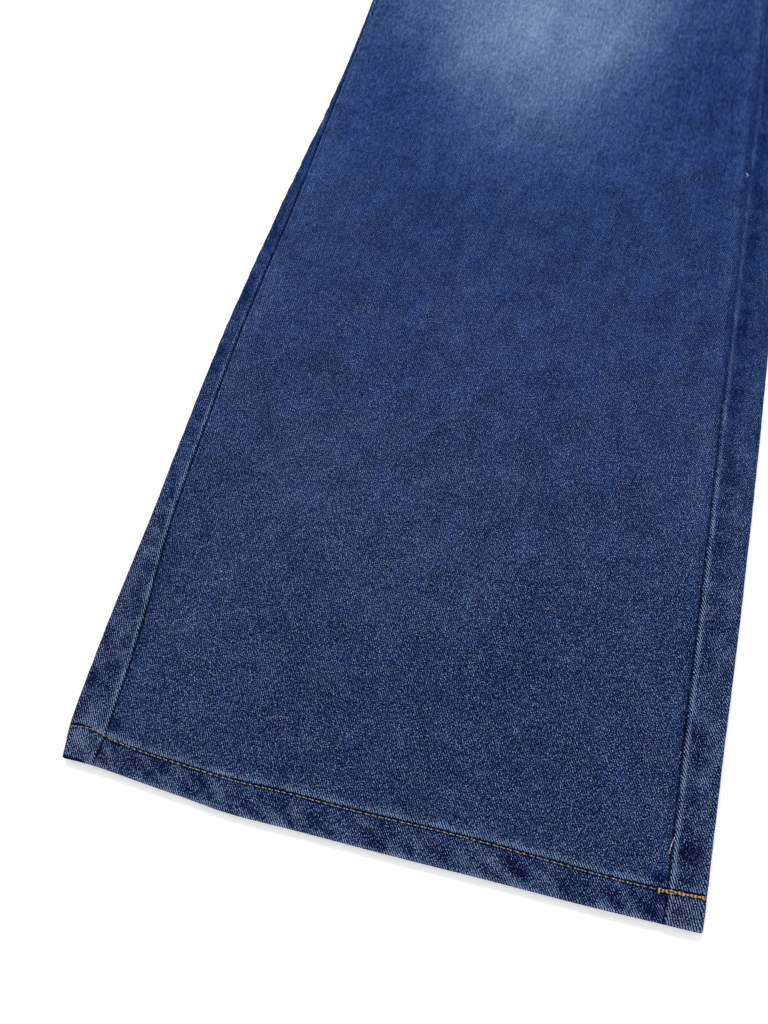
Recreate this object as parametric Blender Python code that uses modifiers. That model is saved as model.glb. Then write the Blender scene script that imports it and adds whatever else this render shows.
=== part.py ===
"""A sleeveless denim jumpsuit with wide straight legs, laid flat with its front side up.

Metres, +Z up. +Y runs from the hems to the neck, and +X to the wearer's left. The origin is below the
middle of the garment, on the surface that it lies on. Each leg is a flattened tube: the front panel lies on
the back panel, and the back panel wraps round both folds, so both leg seams lie on the front face.
"""

import math
from collections import namedtuple

import bmesh
import bpy
from mathutils import Vector

# Cloth
WALL = 0.0012
HEM_WALL = 0.0024
SEAM_GAP = 0.0003

# Leg, measured flat in its own frame: across from the outseam to the inseam, and up from the hem
HEM_DEPTH = 0.0150
HEM_BOW = 0.0045
HEM_BOW_FADES = 0.150
HALF_HEM = 0.150
INSEAM = 0.800
CROTCH_INNER = 0.154
LEG_SPLAY = math.radians(4.0)

# Trunk and bodice
RISE = 0.295
WAIST_HALF = 0.190
WAIST_SIDE_LIFT = 0.005
BODICE_SIDE_RISE = 0.395
NECK_POINT_RISE = 0.430
NECK_HALF = 0.075
FRONT_NECK_DEPTH = 0.085
BACK_NECK_DEPTH = 0.020
UNDERARM = 0.494
SHOULDER_HALF = 0.180

# Height of the top face over the surface: at the folds, and in the middle where the layers meet
FOLD_HEIGHT = 0.0054
HEM_FOLD_HEIGHT = 0.0060
MIDDLE_HEIGHT = 0.0034
HEM_MIDDLE_HEIGHT = 0.0055
HEM_RAMP = 0.040
FOLD_SLOPE = 0.060
CALM_CENTRE = 0.030

# Closure
BAND_HALF = 0.015
FLY_RISE = 0.100
BUTTON_COUNT = 8
BUTTON_RADIUS = 0.0085
BUTTON_HEIGHT = 0.0038
BUTTON_STEPS = 14
BUTTON_END_MARGIN = 0.022

# Leg sections, from the hem to the crotch. outer and inner are the folded edges, and the last two columns
# say how far each seam lies from its fold, seen from above.
LegSection = namedtuple("LegSection", "up outer inner outseam_in inseam_in")
LEG = [
    LegSection(0.000, -0.1500, 0.1490, 0.0165, 0.0170),
    LegSection(0.020, -0.1540, 0.1495, 0.0200, 0.0175),
    LegSection(0.075, -0.1545, 0.1507, 0.0180, 0.0187),
    LegSection(0.125, -0.1530, 0.1522, 0.0127, 0.0200),
    LegSection(0.185, -0.1523, 0.1533, 0.0114, 0.0208),
    LegSection(0.250, -0.1507, 0.1540, 0.0102, 0.0215),
    LegSection(0.350, -0.1450, 0.1540, 0.0083, 0.0215),
    LegSection(0.440, -0.1380, 0.1538, 0.0034, 0.0213),
    LegSection(0.540, -0.1343, 0.1536, 0.0008, 0.0210),
    LegSection(0.640, -0.1352, 0.1537, 0.0000, 0.0200),
    LegSection(0.720, -0.1395, 0.1540, 0.0000, 0.0120),
    LegSection(INSEAM, -0.1450, CROTCH_INNER, 0.0000, 0.0000),
]
THIGH = CROTCH_INNER - LEG[-1].outer

# Trunk sections, from the crotch to the waist. side_lift is how much higher the side is than the middle.
TrunkSection = namedtuple("TrunkSection", "rise half side_lift")
TRUNK = [
    TrunkSection(0.000, THIGH * math.cos(LEG_SPLAY), THIGH * math.sin(LEG_SPLAY)),
    TrunkSection(0.040, 0.2945, 0.0185),
    TrunkSection(0.090, 0.2840, 0.0150),
    TrunkSection(0.150, 0.2660, 0.0110),
    TrunkSection(0.225, 0.2290, 0.0080),
    TrunkSection(RISE, WAIST_HALF, WAIST_SIDE_LIFT),
]

# Half width of the bodice at each share of its side height
SideSection = namedtuple("SideSection", "share half")
SIDE_SEAM = [
    SideSection(0.000, WAIST_HALF),
    SideSection(0.250, 0.2080),
    SideSection(UNDERARM, 0.2350),
]
ARMHOLE = [
    SideSection(UNDERARM, 0.2350),
    SideSection(0.530, 0.2120),
    SideSection(0.600, 0.1930),
    SideSection(0.720, 0.1800),
    SideSection(0.860, 0.1765),
    SideSection(1.000, SHOULDER_HALF),
]

# The largest folds of the top layer, on the wearer's right side unless x is positive
Fold = namedtuple("Fold", "x y heading length width height")
FOLDS = [
    Fold(-0.120, 0.640, 62, 0.240, 0.026, 0.0040),
    Fold(-0.225, 0.560, 78, 0.260, 0.022, 0.0030),
    Fold(-0.110, 0.860, 30, 0.170, 0.024, 0.0050),
    Fold(-0.150, 0.935, 18, 0.180, 0.024, 0.0040),
    Fold(0.105, 0.850, -34, 0.160, 0.026, 0.0050),
    Fold(0.170, 0.965, -12, 0.190, 0.024, 0.0036),
    Fold(0.190, 0.600, -70, 0.300, 0.026, 0.0042),
    Fold(0.250, 0.300, -82, 0.340, 0.028, 0.0034),
    Fold(-0.115, 1.240, 64, 0.190, 0.024, 0.0040),
    Fold(0.120, 1.210, -58, 0.200, 0.026, 0.0046),
]

# How finely the panels are divided
LEG_ROWS = 19
TRUNK_ROWS = 8
TOP_COLUMNS = 15
UNDER_COLUMNS = 5
BODICE_SIDE_ROWS = 5
ARMHOLE_ROWS = 5
NECK_COLUMNS = 4
SHOULDER_COLUMNS = 5
ROLL_STEPS = 2

# Two places closer than this count as one
SAME = 1e-6

# Heights along the garment, with the lowest hem corner at the start
HEM_TO_CROTCH = INSEAM * math.cos(LEG_SPLAY) - CROTCH_INNER * math.sin(LEG_SPLAY)
HEM_CORNER_DROP = HALF_HEM * math.sin(LEG_SPLAY)
CROTCH_Y = HEM_TO_CROTCH + HEM_CORNER_DROP
WAIST_Y = CROTCH_Y + RISE
TOTAL_LENGTH = WAIST_Y + NECK_POINT_RISE

DENIM = dict(colour=(0.026, 0.045, 0.119, 1.0), roughness=0.9, metallic=0.0)
BRASS = dict(colour=(0.42, 0.27, 0.14, 1.0), roughness=0.38, metallic=1.0)


def mix(start, end, share):
    return start + (end - start) * share


def ease(share):
    share = min(max(share, 0.0), 1.0)
    return share * share * (3 - 2 * share)


def read(table, column, at):
    """The value of a column at a height, on a smooth curve through the table's rows."""
    keys = [row[0] for row in table]
    values = [getattr(row, column) for row in table]
    last = len(keys) - 1
    k = min(max(sum(key <= at for key in keys) - 1, 0), last - 1)

    def slope(n):
        low, high = max(n - 1, 0), min(n + 1, last)
        return (values[high] - values[low]) / (keys[high] - keys[low])

    span = keys[k + 1] - keys[k]
    s = (at - keys[k]) / span
    return (
        values[k] * (2 * s**3 - 3 * s**2 + 1)
        + slope(k) * span * (s**3 - 2 * s**2 + s)
        + values[k + 1] * (3 * s**2 - 2 * s**3)
        + slope(k + 1) * span * (s**3 - s**2)
    )


def leg_to_garment(across, up):
    """A point of the wearer's right leg, from the leg's own frame to the garment's."""
    x = (across - CROTCH_INNER) * math.cos(LEG_SPLAY) + (up - INSEAM) * math.sin(LEG_SPLAY)
    y = (CROTCH_INNER - across) * math.sin(LEG_SPLAY) + (up - INSEAM) * math.cos(LEG_SPLAY)
    return Vector((x, CROTCH_Y + y))


def folds_at(x, y):
    """How far the largest folds lift the top layer there."""
    lift = 0.0
    for fold in FOLDS:
        turn = math.radians(fold.heading)
        along = (x - fold.x) * math.cos(turn) + (y - fold.y) * math.sin(turn)
        aside = (y - fold.y) * math.cos(turn) - (x - fold.x) * math.sin(turn)
        reach = 1 - (2 * along / fold.length) ** 2
        if reach > 0:
            lift += fold.height * reach**2 * math.exp(-((aside / fold.width) ** 2))
    return lift * ease((abs(x) - CALM_CENTRE) / CALM_CENTRE)


class Row:
    """One section across a leg or the trunk, from the outer fold to the inner fold or the middle seam."""

    def __init__(self, up, side):
        self.side = side
        trunk = max(up - INSEAM, 0.0)
        if trunk:
            half, lift = read(TRUNK, "half", trunk), read(TRUNK, "side_lift", trunk)
            self.outer = Vector((-half, CROTCH_Y + trunk + lift))
            self.inner = Vector((0.0, CROTCH_Y + trunk))
        else:
            self.outer = leg_to_garment(read(LEG, "outer", up), up)
            self.inner = leg_to_garment(read(LEG, "inner", up), up)
        self.inner.x -= SEAM_GAP / 2
        self.unrolled = float(trunk > 0)
        self.width = (self.inner - self.outer).length
        self.across = (self.inner - self.outer) / self.width
        above_hem = ease((up - HEM_DEPTH) / HEM_RAMP)
        self.wall = HEM_WALL if up <= HEM_DEPTH else WALL
        self.fold_height = mix(HEM_FOLD_HEIGHT, FOLD_HEIGHT, above_hem)
        self.middle = mix(HEM_MIDDLE_HEIGHT, MIDDLE_HEIGHT, above_hem)
        self.bow = HEM_BOW * max(1 - up / HEM_BOW_FADES, 0.0)
        self.radius = self.fold_height / 2
        self.quarter = math.pi * self.radius / 2
        self.outseam = self.arc_length(read(LEG, "outseam_in", min(up, INSEAM)))
        self.inseam = self.arc_length(read(LEG, "inseam_in", min(up, INSEAM)))

    def arc_length(self, inset):
        """Length along the cloth from the fold's outermost line to a seam that lies this far in."""
        inset = max(inset, 0.0)
        if inset >= self.radius:
            return self.quarter + inset - self.radius
        return self.radius * math.acos(1 - inset / self.radius)

    def top(self, across, x, y):
        nearest = across if self.unrolled else min(across, self.width - across)
        slope = 1 - ease((nearest - self.radius) / FOLD_SLOPE)
        return mix(self.middle, self.fold_height, slope) + folds_at(x * -self.side, y)

    def point(self, from_inner, length, inside):
        """The point this length of cloth from a fold: positive over the top, negative underneath."""
        wall = self.wall if inside else 0.0
        unrolled = self.unrolled if from_inner else 0.0
        reach = abs(length)
        on_arc = reach < self.quarter
        angle = min(reach, self.quarter) / self.radius
        flat_in = reach * self.radius / self.quarter if on_arc else self.radius + reach - self.quarter
        curled_in = self.radius - (self.radius - wall) * math.cos(angle) if on_arc else flat_in
        distance = mix(curled_in, flat_in, unrolled)
        across = self.width - distance if from_inner else distance
        place = self.outer + self.across * across
        off_middle = abs(2 * across / self.width - 1)
        place.y -= self.bow * (1 - min(off_middle, 1.0) ** 3)
        if length >= 0:
            flat_z = self.top(across, place.x, place.y) - wall
        else:
            flat_z = wall
        curled_z = flat_z
        if on_arc:
            turn = 1 if length >= 0 else -1
            curled_z = self.radius + turn * (self.radius - wall) * math.sin(angle)
            if length >= 0:
                curled_z += (flat_z + wall - self.fold_height) * math.sin(angle)
        return Vector((place.x * -self.side, place.y, mix(curled_z, flat_z, unrolled)))


def leg_heights():
    """Heights of the rows: both edges of the hem, the leg, and the trunk up to the waist."""
    step = (INSEAM - HEM_DEPTH) / LEG_ROWS
    leg = [HEM_DEPTH + step * n for n in range(1, LEG_ROWS + 1)]
    trunk = [INSEAM + RISE * n / TRUNK_ROWS for n in range(1, TRUNK_ROWS + 1)]
    return [0.0, HEM_DEPTH, HEM_DEPTH + WALL] + leg + trunk


def steps(start, end, count):
    """Evenly spaced values after the start, up to the end."""
    return [mix(start, end, (n + 1) / count) for n in range(count)]


def front_stations(row):
    """(from the inner side, length) of each column of a leg's front panel, from outseam to inseam."""
    first = row.outseam + SEAM_GAP / 2
    last = row.inseam + SEAM_GAP / 2
    outer_top = max(row.quarter, first + WALL)
    inner_top = max(row.quarter, last + WALL)
    flat = row.width - 2 * row.radius + 2 * row.quarter
    stations = [(False, first)] + [(False, s) for s in steps(first, outer_top, ROLL_STEPS)]
    crossing = steps(outer_top, flat - inner_top, TOP_COLUMNS)
    for length in crossing:
        outer_half = length < flat / 2
        stations.append((not outer_half, length if outer_half else flat - length))
    return stations + [(True, s) for s in steps(inner_top, last, ROLL_STEPS)]


def back_stations(row):
    """The same for the back panel: round the outer fold, across underneath and round the inner fold."""

    def wrap(seam):
        end = seam - SEAM_GAP / 2
        arc_start = min(row.quarter, end - (end + row.quarter) / 5)
        return [end, arc_start] + steps(arc_start, -row.quarter, 2 * ROLL_STEPS)

    flat = row.width - 2 * row.radius + 2 * row.quarter
    stations = [(False, length) for length in wrap(row.outseam)]
    for length in steps(row.quarter, flat - row.quarter, UNDER_COLUMNS)[:-1]:
        outer_half = length < flat / 2
        stations.append((not outer_half, -length if outer_half else length - flat))
    return stations + [(True, length) for length in reversed(wrap(row.inseam))]


def wall_mesh(name, columns, rows, place):
    """A closed wall: a grid extruded once, whose points go where place(column, row, inside) says."""
    bm = bmesh.new()
    bmesh.ops.create_grid(bm, x_segments=columns, y_segments=rows, size=0.5)
    seats = {}
    for vert in bm.verts:
        seats[vert] = (round((vert.co.x + 0.5) * columns), round((vert.co.y + 0.5) * rows))
    made = bmesh.ops.extrude_face_region(bm, geom=bm.faces[:])["geom"]
    inside = {item for item in made if isinstance(item, bmesh.types.BMVert)}
    for vert in bm.verts:
        if vert not in inside:
            continue
        seats[vert] = (round((vert.co.x + 0.5) * columns), round((vert.co.y + 0.5) * rows))
    for vert, (column, row) in seats.items():
        vert.co = place(column, row, vert in inside)
    bmesh.ops.recalc_face_normals(bm, faces=bm.faces[:])
    if bm.calc_volume(signed=True) < 0:
        bmesh.ops.reverse_faces(bm, faces=bm.faces[:])
    mesh = bpy.data.meshes.new(name)
    bm.to_mesh(mesh)
    bm.free()
    return mesh


def add(name, mesh, material, collection):
    obj = bpy.data.objects.new(name, mesh)
    obj.data.materials.clear()
    obj.data.materials.append(material)
    collection.objects.link(obj)
    obj.data.shade_smooth()
    obj.data.set_sharp_from_angle(angle=math.radians(50))
    return obj


def leg_panel(name, side, stations_of, material, collection):
    """side is -1 for the wearer's right leg, which lies at -X, and 1 for the left."""
    rows = [Row(up, side) for up in leg_heights()]
    stations = [stations_of(row) for row in rows]

    def place(column, row, inside):
        return rows[row].point(*stations[row][column], inside)

    return add(name, wall_mesh(name, len(stations[0]) - 1, len(rows) - 1, place), material, collection)


def bodice_half(share):
    return read(SIDE_SEAM if share < UNDERARM else ARMHOLE, "half", share)


def bodice_top(x, neck_depth):
    """Height of the shoulder seam or of the neck's edge over the waist."""
    if abs(x) >= NECK_HALF:
        along = (abs(x) - NECK_HALF) / (SHOULDER_HALF - NECK_HALF)
        return mix(NECK_POINT_RISE, BODICE_SIDE_RISE + WAIST_SIDE_LIFT, along)
    return NECK_POINT_RISE - neck_depth * math.sqrt(1 - (x / NECK_HALF) ** 2)


def bodice_shares():
    """Shares of the side height at each row, with the last rows on the shoulder's roll."""
    radius_share = FOLD_HEIGHT / 2 / BODICE_SIDE_RISE
    roll = [1 - radius_share * (1 - math.sin(a)) for a in steps(0.0, math.pi / 2, ROLL_STEPS)]
    side = steps(0.0, UNDERARM, BODICE_SIDE_ROWS)
    armhole = steps(UNDERARM, 1 - radius_share, ARMHOLE_ROWS)
    return [0.0] + side + armhole + roll


def bodice_columns():
    """Half-width shares from the middle to the side's roll, closer together round the neck."""
    neck = [math.sin(a) * NECK_HALF / SHOULDER_HALF for a in steps(0.0, math.pi / 2, NECK_COLUMNS)]
    return [0.0] + neck + steps(neck[-1], 1.0, SHOULDER_COLUMNS)


def bodice_point(share, column, side_roll, side, neck_depth, front, inside):
    """A point of the bodice. share is up the side seam and column out from the middle. side_roll is the
    angle round the side's rolled edge, or None before it. The shoulder seam rolls like the side seam."""
    radius = FOLD_HEIGHT / 2
    wall = WALL if inside else 0.0
    half = bodice_half(share)
    x = column * (half - radius) if side_roll is None else half - radius * (1 - math.cos(side_roll))
    y = mix(WAIST_SIDE_LIFT * column, bodice_top(column * SHOULDER_HALF, neck_depth), share)
    has_side_seam = share < UNDERARM - SAME
    at_side_seam = has_side_seam and side_roll is not None
    below_shoulder = max(1 - share, 0.0) * BODICE_SIDE_RISE / radius
    at_shoulder_seam = below_shoulder < 1 and column * SHOULDER_HALF >= NECK_HALF - SAME
    rise = 1 - ease((half - x) / FOLD_SLOPE) if has_side_seam else 0.0
    height = mix(MIDDLE_HEIGHT, FOLD_HEIGHT, rise) + folds_at(x * side, WAIST_Y + y)
    rolls = [side_roll] if at_side_seam else []
    if at_shoulder_seam:
        rolls.append(math.acos(1 - below_shoulder))
    if rolls:
        turn = min(rolls)
        x -= wall * math.cos(turn) * at_side_seam
        y -= wall * math.cos(turn) * at_shoulder_seam
        level = (radius - wall) * math.sin(turn) + SEAM_GAP / 2 * math.cos(turn)
        z = radius + level + (height - FOLD_HEIGHT) * math.sin(turn) if front else radius - level
    else:
        z = height - wall if front else wall
    return Vector((x * side, WAIST_Y + SEAM_GAP + y, z))


def bodice_panel(name, sides, neck_depth, front, material, collection):
    """sides is (-1,) or (1,) for a front, and (-1, 1) for the back, which crosses the middle."""
    shares = bodice_shares()
    columns = bodice_columns()
    rolls = steps(math.pi / 2, 0.0, ROLL_STEPS)
    half = [(column, None) for column in columns] + [(1.0, roll) for roll in rolls]
    if len(sides) == 1:
        line = [(sides[0], column, roll) for column, roll in half]
    else:
        line = [(-1, column, roll) for column, roll in reversed(half[1:])]
        line += [(1, column, roll) for column, roll in half]

    def place(column, row, inside):
        side, share_across, roll = line[column]
        point = bodice_point(shares[row], share_across, roll, side, neck_depth, front, inside)
        if len(sides) == 1 and column == 0:
            point.x = side * SEAM_GAP / 2
        return point

    return add(name, wall_mesh(name, len(line) - 1, len(shares) - 1, place), material, collection)


def band_ends():
    start = CROTCH_Y + FLY_RISE
    end = WAIST_Y + NECK_POINT_RISE - FRONT_NECK_DEPTH
    return start, end


def button_band(material, collection):
    """The strip over the front opening, lying on both fronts."""
    start, end = band_ends()
    under = MIDDLE_HEIGHT + SEAM_GAP
    box = bmesh.new()
    bmesh.ops.create_cube(box, size=1.0)
    bmesh.ops.scale(box, vec=(2 * BAND_HALF, end - start, WALL), verts=box.verts[:])
    bmesh.ops.translate(box, vec=(0.0, (start + end) / 2, under + WALL / 2), verts=box.verts[:])
    mesh = bpy.data.meshes.new("button_band")
    box.to_mesh(mesh)
    box.free()
    return add("button_band", mesh, material, collection)


def button_profile():
    """Rim and dome of a button from its outer foot up to the middle, as (radius, height)."""
    rim = 0.6 * BUTTON_HEIGHT
    dome = [
        (BUTTON_RADIUS * math.cos(a), rim + (BUTTON_HEIGHT - rim) * math.sin(a))
        for a in (0.0, math.radians(45), math.radians(90))
    ]
    return dome[::-1] + [(BUTTON_RADIUS * 0.8, 0.0), (0.0, 0.0)]


def button(number, y, material, collection):
    name = f"button_{number}"
    profile = bmesh.new()
    verts = [profile.verts.new((max(r, 0.0), 0.0, z)) for r, z in button_profile()]
    for first, second in zip(verts, verts[1:]):
        profile.edges.new((first, second))
    mesh = bpy.data.meshes.new(name)
    profile.to_mesh(mesh)
    profile.free()
    obj = add(name, mesh, material, collection)
    obj.location = (0.0, y, MIDDLE_HEIGHT + WALL + 2 * SEAM_GAP)
    screw = obj.modifiers.new("turned", "SCREW")
    screw.steps = BUTTON_STEPS
    screw.render_steps = BUTTON_STEPS
    screw.use_merge_vertices = True
    screw.merge_threshold = 0.0001
    screw.use_normal_calculate = False
    return obj


def material(name, colour, roughness, metallic):
    made = bpy.data.materials.new(name)
    made.use_nodes = True
    shader = made.node_tree.nodes["Principled BSDF"]
    shader.inputs["Base Color"].default_value = colour
    shader.inputs["Roughness"].default_value = roughness
    shader.inputs["Metallic"].default_value = metallic
    return made


def clear_scene():
    for obj in list(bpy.data.objects):
        bpy.data.objects.remove(obj, do_unlink=True)


def centre_on_origin(objects, parent):
    """Everything hangs on one empty, which puts the middle of the garment over the origin."""
    parent.location = (0.0, -TOTAL_LENGTH / 2, 0.0)
    for obj in objects:
        obj.parent = parent


def build():
    clear_scene()
    collection = bpy.data.collections.new("denim_jumpsuit")
    bpy.context.scene.collection.children.link(collection)
    made = []
    for side, word in ((-1, "right"), (1, "left")):
        front, back, bodice = (f"{piece}_{word}" for piece in ("leg_front", "leg_back", "bodice_front"))
        made.append(leg_panel(front, side, front_stations, material(front, **DENIM), collection))
        made.append(leg_panel(back, side, back_stations, material(back, **DENIM), collection))
        made.append(
            bodice_panel(bodice, (side,), FRONT_NECK_DEPTH, True, material(bodice, **DENIM), collection)
        )
    made.append(
        bodice_panel(
            "bodice_back", (-1, 1), BACK_NECK_DEPTH, False, material("bodice_back", **DENIM), collection
        )
    )
    made.append(button_band(material("button_band", **DENIM), collection))
    start, end = band_ends()
    spacing = (end - start - 2 * BUTTON_END_MARGIN) / (BUTTON_COUNT - 1)
    for n in range(BUTTON_COUNT):
        y = start + BUTTON_END_MARGIN + n * spacing
        made.append(button(n + 1, y, material(f"button_{n + 1}", **BRASS), collection))
    middle = bpy.data.objects.new("middle", None)
    collection.objects.link(middle)
    centre_on_origin(made, middle)


build()
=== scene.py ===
"""Dresses the solids of a denim jumpsuit that lies flat: cloth shells, sewing, buttons and a plain stage.

Metres, in the frame of the solids: +Y from the hems to the neck, +X to the wearer's left, +Z up.
"""

import math
from collections import namedtuple

import bmesh
import bpy
import numpy as np
from mathutils import Matrix, Vector
from mathutils.bvhtree import BVHTree


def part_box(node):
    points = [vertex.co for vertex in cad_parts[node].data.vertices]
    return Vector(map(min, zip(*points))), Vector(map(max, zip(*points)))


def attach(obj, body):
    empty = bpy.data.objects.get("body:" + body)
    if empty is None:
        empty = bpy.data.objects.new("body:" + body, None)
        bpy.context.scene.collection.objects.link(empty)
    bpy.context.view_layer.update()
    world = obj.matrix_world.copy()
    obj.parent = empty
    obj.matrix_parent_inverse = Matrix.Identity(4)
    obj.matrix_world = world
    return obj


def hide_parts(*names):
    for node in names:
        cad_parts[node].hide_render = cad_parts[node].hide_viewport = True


bl_info = {
    "name": "Denim jumpsuit",
    "version": (1, 0, 0),
    "blender": (4, 5, 0),
    "location": "View3D > Sidebar > Jumpsuit",
    "description": "Cloth, sewing and buttons for a denim jumpsuit that lies flat",
    "category": "Object",
}

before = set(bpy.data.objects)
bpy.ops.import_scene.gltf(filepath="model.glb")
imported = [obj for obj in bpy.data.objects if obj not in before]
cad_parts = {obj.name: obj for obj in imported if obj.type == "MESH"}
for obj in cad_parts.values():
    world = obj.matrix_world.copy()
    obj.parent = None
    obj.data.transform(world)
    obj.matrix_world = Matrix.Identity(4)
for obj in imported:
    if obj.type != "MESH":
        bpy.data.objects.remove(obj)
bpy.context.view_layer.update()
MM = 0.001

# Sizes that the solids were made from
HEM_DEPTH = 0.0150
HEM_BOW_FADES = 0.150
HALF_HEM = 0.150
INSEAM = 0.800
CROTCH_INNER = 0.154
LEG_SPLAY = math.radians(4.0)
RISE = 0.295
WAIST_HALF = 0.190
WAIST_SIDE_LIFT = 0.005
BODICE_SIDE_RISE = 0.395
NECK_POINT_RISE = 0.430
NECK_HALF = 0.075
FRONT_NECK_DEPTH = 0.085
BACK_NECK_DEPTH = 0.020
UNDERARM = 0.494
SHOULDER_HALF = 0.180
FOLD_HEIGHT = 0.0054
HEM_FOLD_HEIGHT = 0.0060
MIDDLE_HEIGHT = 0.0034
HEM_MIDDLE_HEIGHT = 0.0055
HEM_RAMP = 0.040
FOLD_SLOPE = 0.060
CALM_CENTRE = 0.030
BAND_HALF = 0.015
SEAM_GAP = 0.0003
SEAM_LINE = 0.00012
SAME = 1e-6

LegSection = namedtuple("LegSection", "up outer inner outseam_in inseam_in")
LEG = [
    LegSection(0.000, -0.1520, 0.1490, 0.0165, 0.0170),
    LegSection(0.020, -0.1544, 0.1495, 0.0200, 0.0175),
    LegSection(0.075, -0.1545, 0.1507, 0.0180, 0.0187),
    LegSection(0.125, -0.1530, 0.1522, 0.0127, 0.0200),
    LegSection(0.185, -0.1523, 0.1533, 0.0114, 0.0208),
    LegSection(0.250, -0.1507, 0.1540, 0.0102, 0.0215),
    LegSection(0.350, -0.1445, 0.1540, 0.0083, 0.0215),
    LegSection(0.440, -0.1370, 0.1538, 0.0034, 0.0213),
    LegSection(0.540, -0.1332, 0.1536, 0.0008, 0.0210),
    LegSection(0.640, -0.1352, 0.1537, 0.0000, 0.0200),
    LegSection(0.720, -0.1395, 0.1540, 0.0000, 0.0120),
    LegSection(INSEAM, -0.1450, CROTCH_INNER, 0.0000, 0.0000),
]
THIGH = CROTCH_INNER - LEG[-1].outer

TrunkSection = namedtuple("TrunkSection", "rise half side_lift")
TRUNK = [
    TrunkSection(0.000, THIGH * math.cos(LEG_SPLAY), THIGH * math.sin(LEG_SPLAY)),
    TrunkSection(0.040, 0.2945, 0.0185),
    TrunkSection(0.090, 0.2840, 0.0150),
    TrunkSection(0.150, 0.2660, 0.0110),
    TrunkSection(0.225, 0.2290, 0.0080),
    TrunkSection(RISE, WAIST_HALF, WAIST_SIDE_LIFT),
]

SideSection = namedtuple("SideSection", "share half")
SIDE_SEAM = [
    SideSection(0.000, WAIST_HALF),
    SideSection(0.250, 0.2080),
    SideSection(UNDERARM, 0.2350),
]
ARMHOLE = [
    SideSection(UNDERARM, 0.2350),
    SideSection(0.530, 0.2120),
    SideSection(0.600, 0.1930),
    SideSection(0.720, 0.1800),
    SideSection(0.860, 0.1765),
    SideSection(1.000, SHOULDER_HALF),
]

# Folds of the top layer: the large ones that the solids have, then the slighter creases between them
Fold = namedtuple("Fold", "x y heading length width height")
FOLDS = [
    Fold(-0.120, 0.640, 62, 0.240, 0.026, 0.0040),
    Fold(-0.225, 0.560, 78, 0.260, 0.022, 0.0030),
    Fold(-0.110, 0.860, 30, 0.170, 0.024, 0.0050),
    Fold(-0.150, 0.935, 18, 0.180, 0.024, 0.0040),
    Fold(0.105, 0.850, -34, 0.160, 0.026, 0.0050),
    Fold(0.170, 0.965, -12, 0.190, 0.024, 0.0036),
    Fold(0.190, 0.600, -70, 0.300, 0.026, 0.0042),
    Fold(0.250, 0.300, -82, 0.340, 0.028, 0.0034),
    Fold(-0.115, 1.240, 64, 0.190, 0.024, 0.0040),
    Fold(0.120, 1.210, -58, 0.200, 0.026, 0.0046),
]
CREASES = [
    Fold(-0.070, 0.835, 44, 0.110, 0.009, 0.0018),
    Fold(-0.090, 0.815, 35, 0.130, 0.008, -0.0010),
    Fold(-0.185, 0.900, 24, 0.120, 0.010, 0.0014),
    Fold(-0.215, 0.820, 70, 0.150, 0.011, 0.0016),
    Fold(-0.160, 1.050, 8, 0.140, 0.009, 0.0013),
    Fold(0.062, 0.830, -47, 0.100, 0.008, 0.0019),
    Fold(0.095, 0.905, -30, 0.140, 0.010, 0.0015),
    Fold(0.215, 0.870, -66, 0.160, 0.012, 0.0017),
    Fold(0.150, 1.055, -10, 0.120, 0.009, 0.0012),
    Fold(0.160, 0.700, -75, 0.200, 0.013, -0.0011),
    Fold(0.285, 0.450, -85, 0.220, 0.012, 0.0012),
    Fold(0.170, 0.200, -60, 0.160, 0.014, 0.0010),
    Fold(-0.095, 1.130, 82, 0.100, 0.008, 0.0014),
    Fold(-0.150, 1.300, 40, 0.120, 0.010, 0.0013),
    Fold(-0.085, 1.380, 70, 0.110, 0.009, 0.0011),
    Fold(0.080, 1.135, -80, 0.110, 0.008, 0.0015),
    Fold(0.165, 1.290, -46, 0.130, 0.010, 0.0012),
    Fold(0.095, 1.370, -72, 0.110, 0.009, 0.0012),
]

# Heights along the garment
CROTCH_Y = (
    INSEAM * math.cos(LEG_SPLAY) - CROTCH_INNER * math.sin(LEG_SPLAY) + HALF_HEM * math.sin(LEG_SPLAY)
)
WAIST_Y = CROTCH_Y + RISE
HALF_LENGTH = (WAIST_Y + NECK_POINT_RISE) / 2
FLY_RISE = 0.100
BAND_START = CROTCH_Y + FLY_RISE
BAND_END = WAIST_Y + NECK_POINT_RISE - FRONT_NECK_DEPTH
BUTTON_COUNT = 8

# A smooth bell by its height, centre and width, an eased rise by its start and length, and soft patches
Bell = namedtuple("Bell", "height at width")
Rise = namedtuple("Rise", "start length")
Patches = namedtuple("Patches", "base swing scale seed", defaults=(0.0,))

# How the seams are worked, with distances across the leg from the line where two panels meet, towards
# the fold, and heights up the leg
SEAM_DIP = Bell(0.0007, 0.0, 0.0008)
STRIP_STARTS = Rise(0.0, 0.0006)
ALLOWANCE_HEIGHT = 0.0003
ALLOWANCE_ENDS = Rise(0.0050, 0.0100)
PUCKER_PITCH = 0.0150
PUCKER_HEIGHT = 0.0003
PUCKER_RUB = 0.26
PUCKERS = Bell(1.0, 0.0050, 0.0050)
PUCKERS_START = Rise(0.0018, 0.0030)
INSEAM_SMOOTHS = Rise(INSEAM - 0.060, 0.060)
RELIEF_LOSS, RELIEF_FADES = 0.55, Rise(0.15, 0.30)
RIDGE_LOSS, RIDGE_FADES = 0.80, Rise(0.12, 0.26)
PRESS_FADES = Rise(0.10, 0.15)
SEAM_SHADOW_FADES = Rise(0.10, 0.25)
INNER_RIDGE_STARTS = Rise(0.10, 0.12)
# Painted shade in the hollow beside the seam
HOLLOW_SHADE_BESIDE = Bell(0.10, -0.0020, 0.0016)
RUB_BESIDE = Bell(0.10, -0.0052, 0.0030)
RUB_BESIDE_STARTS = Rise(0.12, 0.15)
RIDGE_PATCHES = Patches(0.75, 0.55, 0.0045)
STRIP_PATCHES = Patches(-0.06, 0.08, 0.006)
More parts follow.
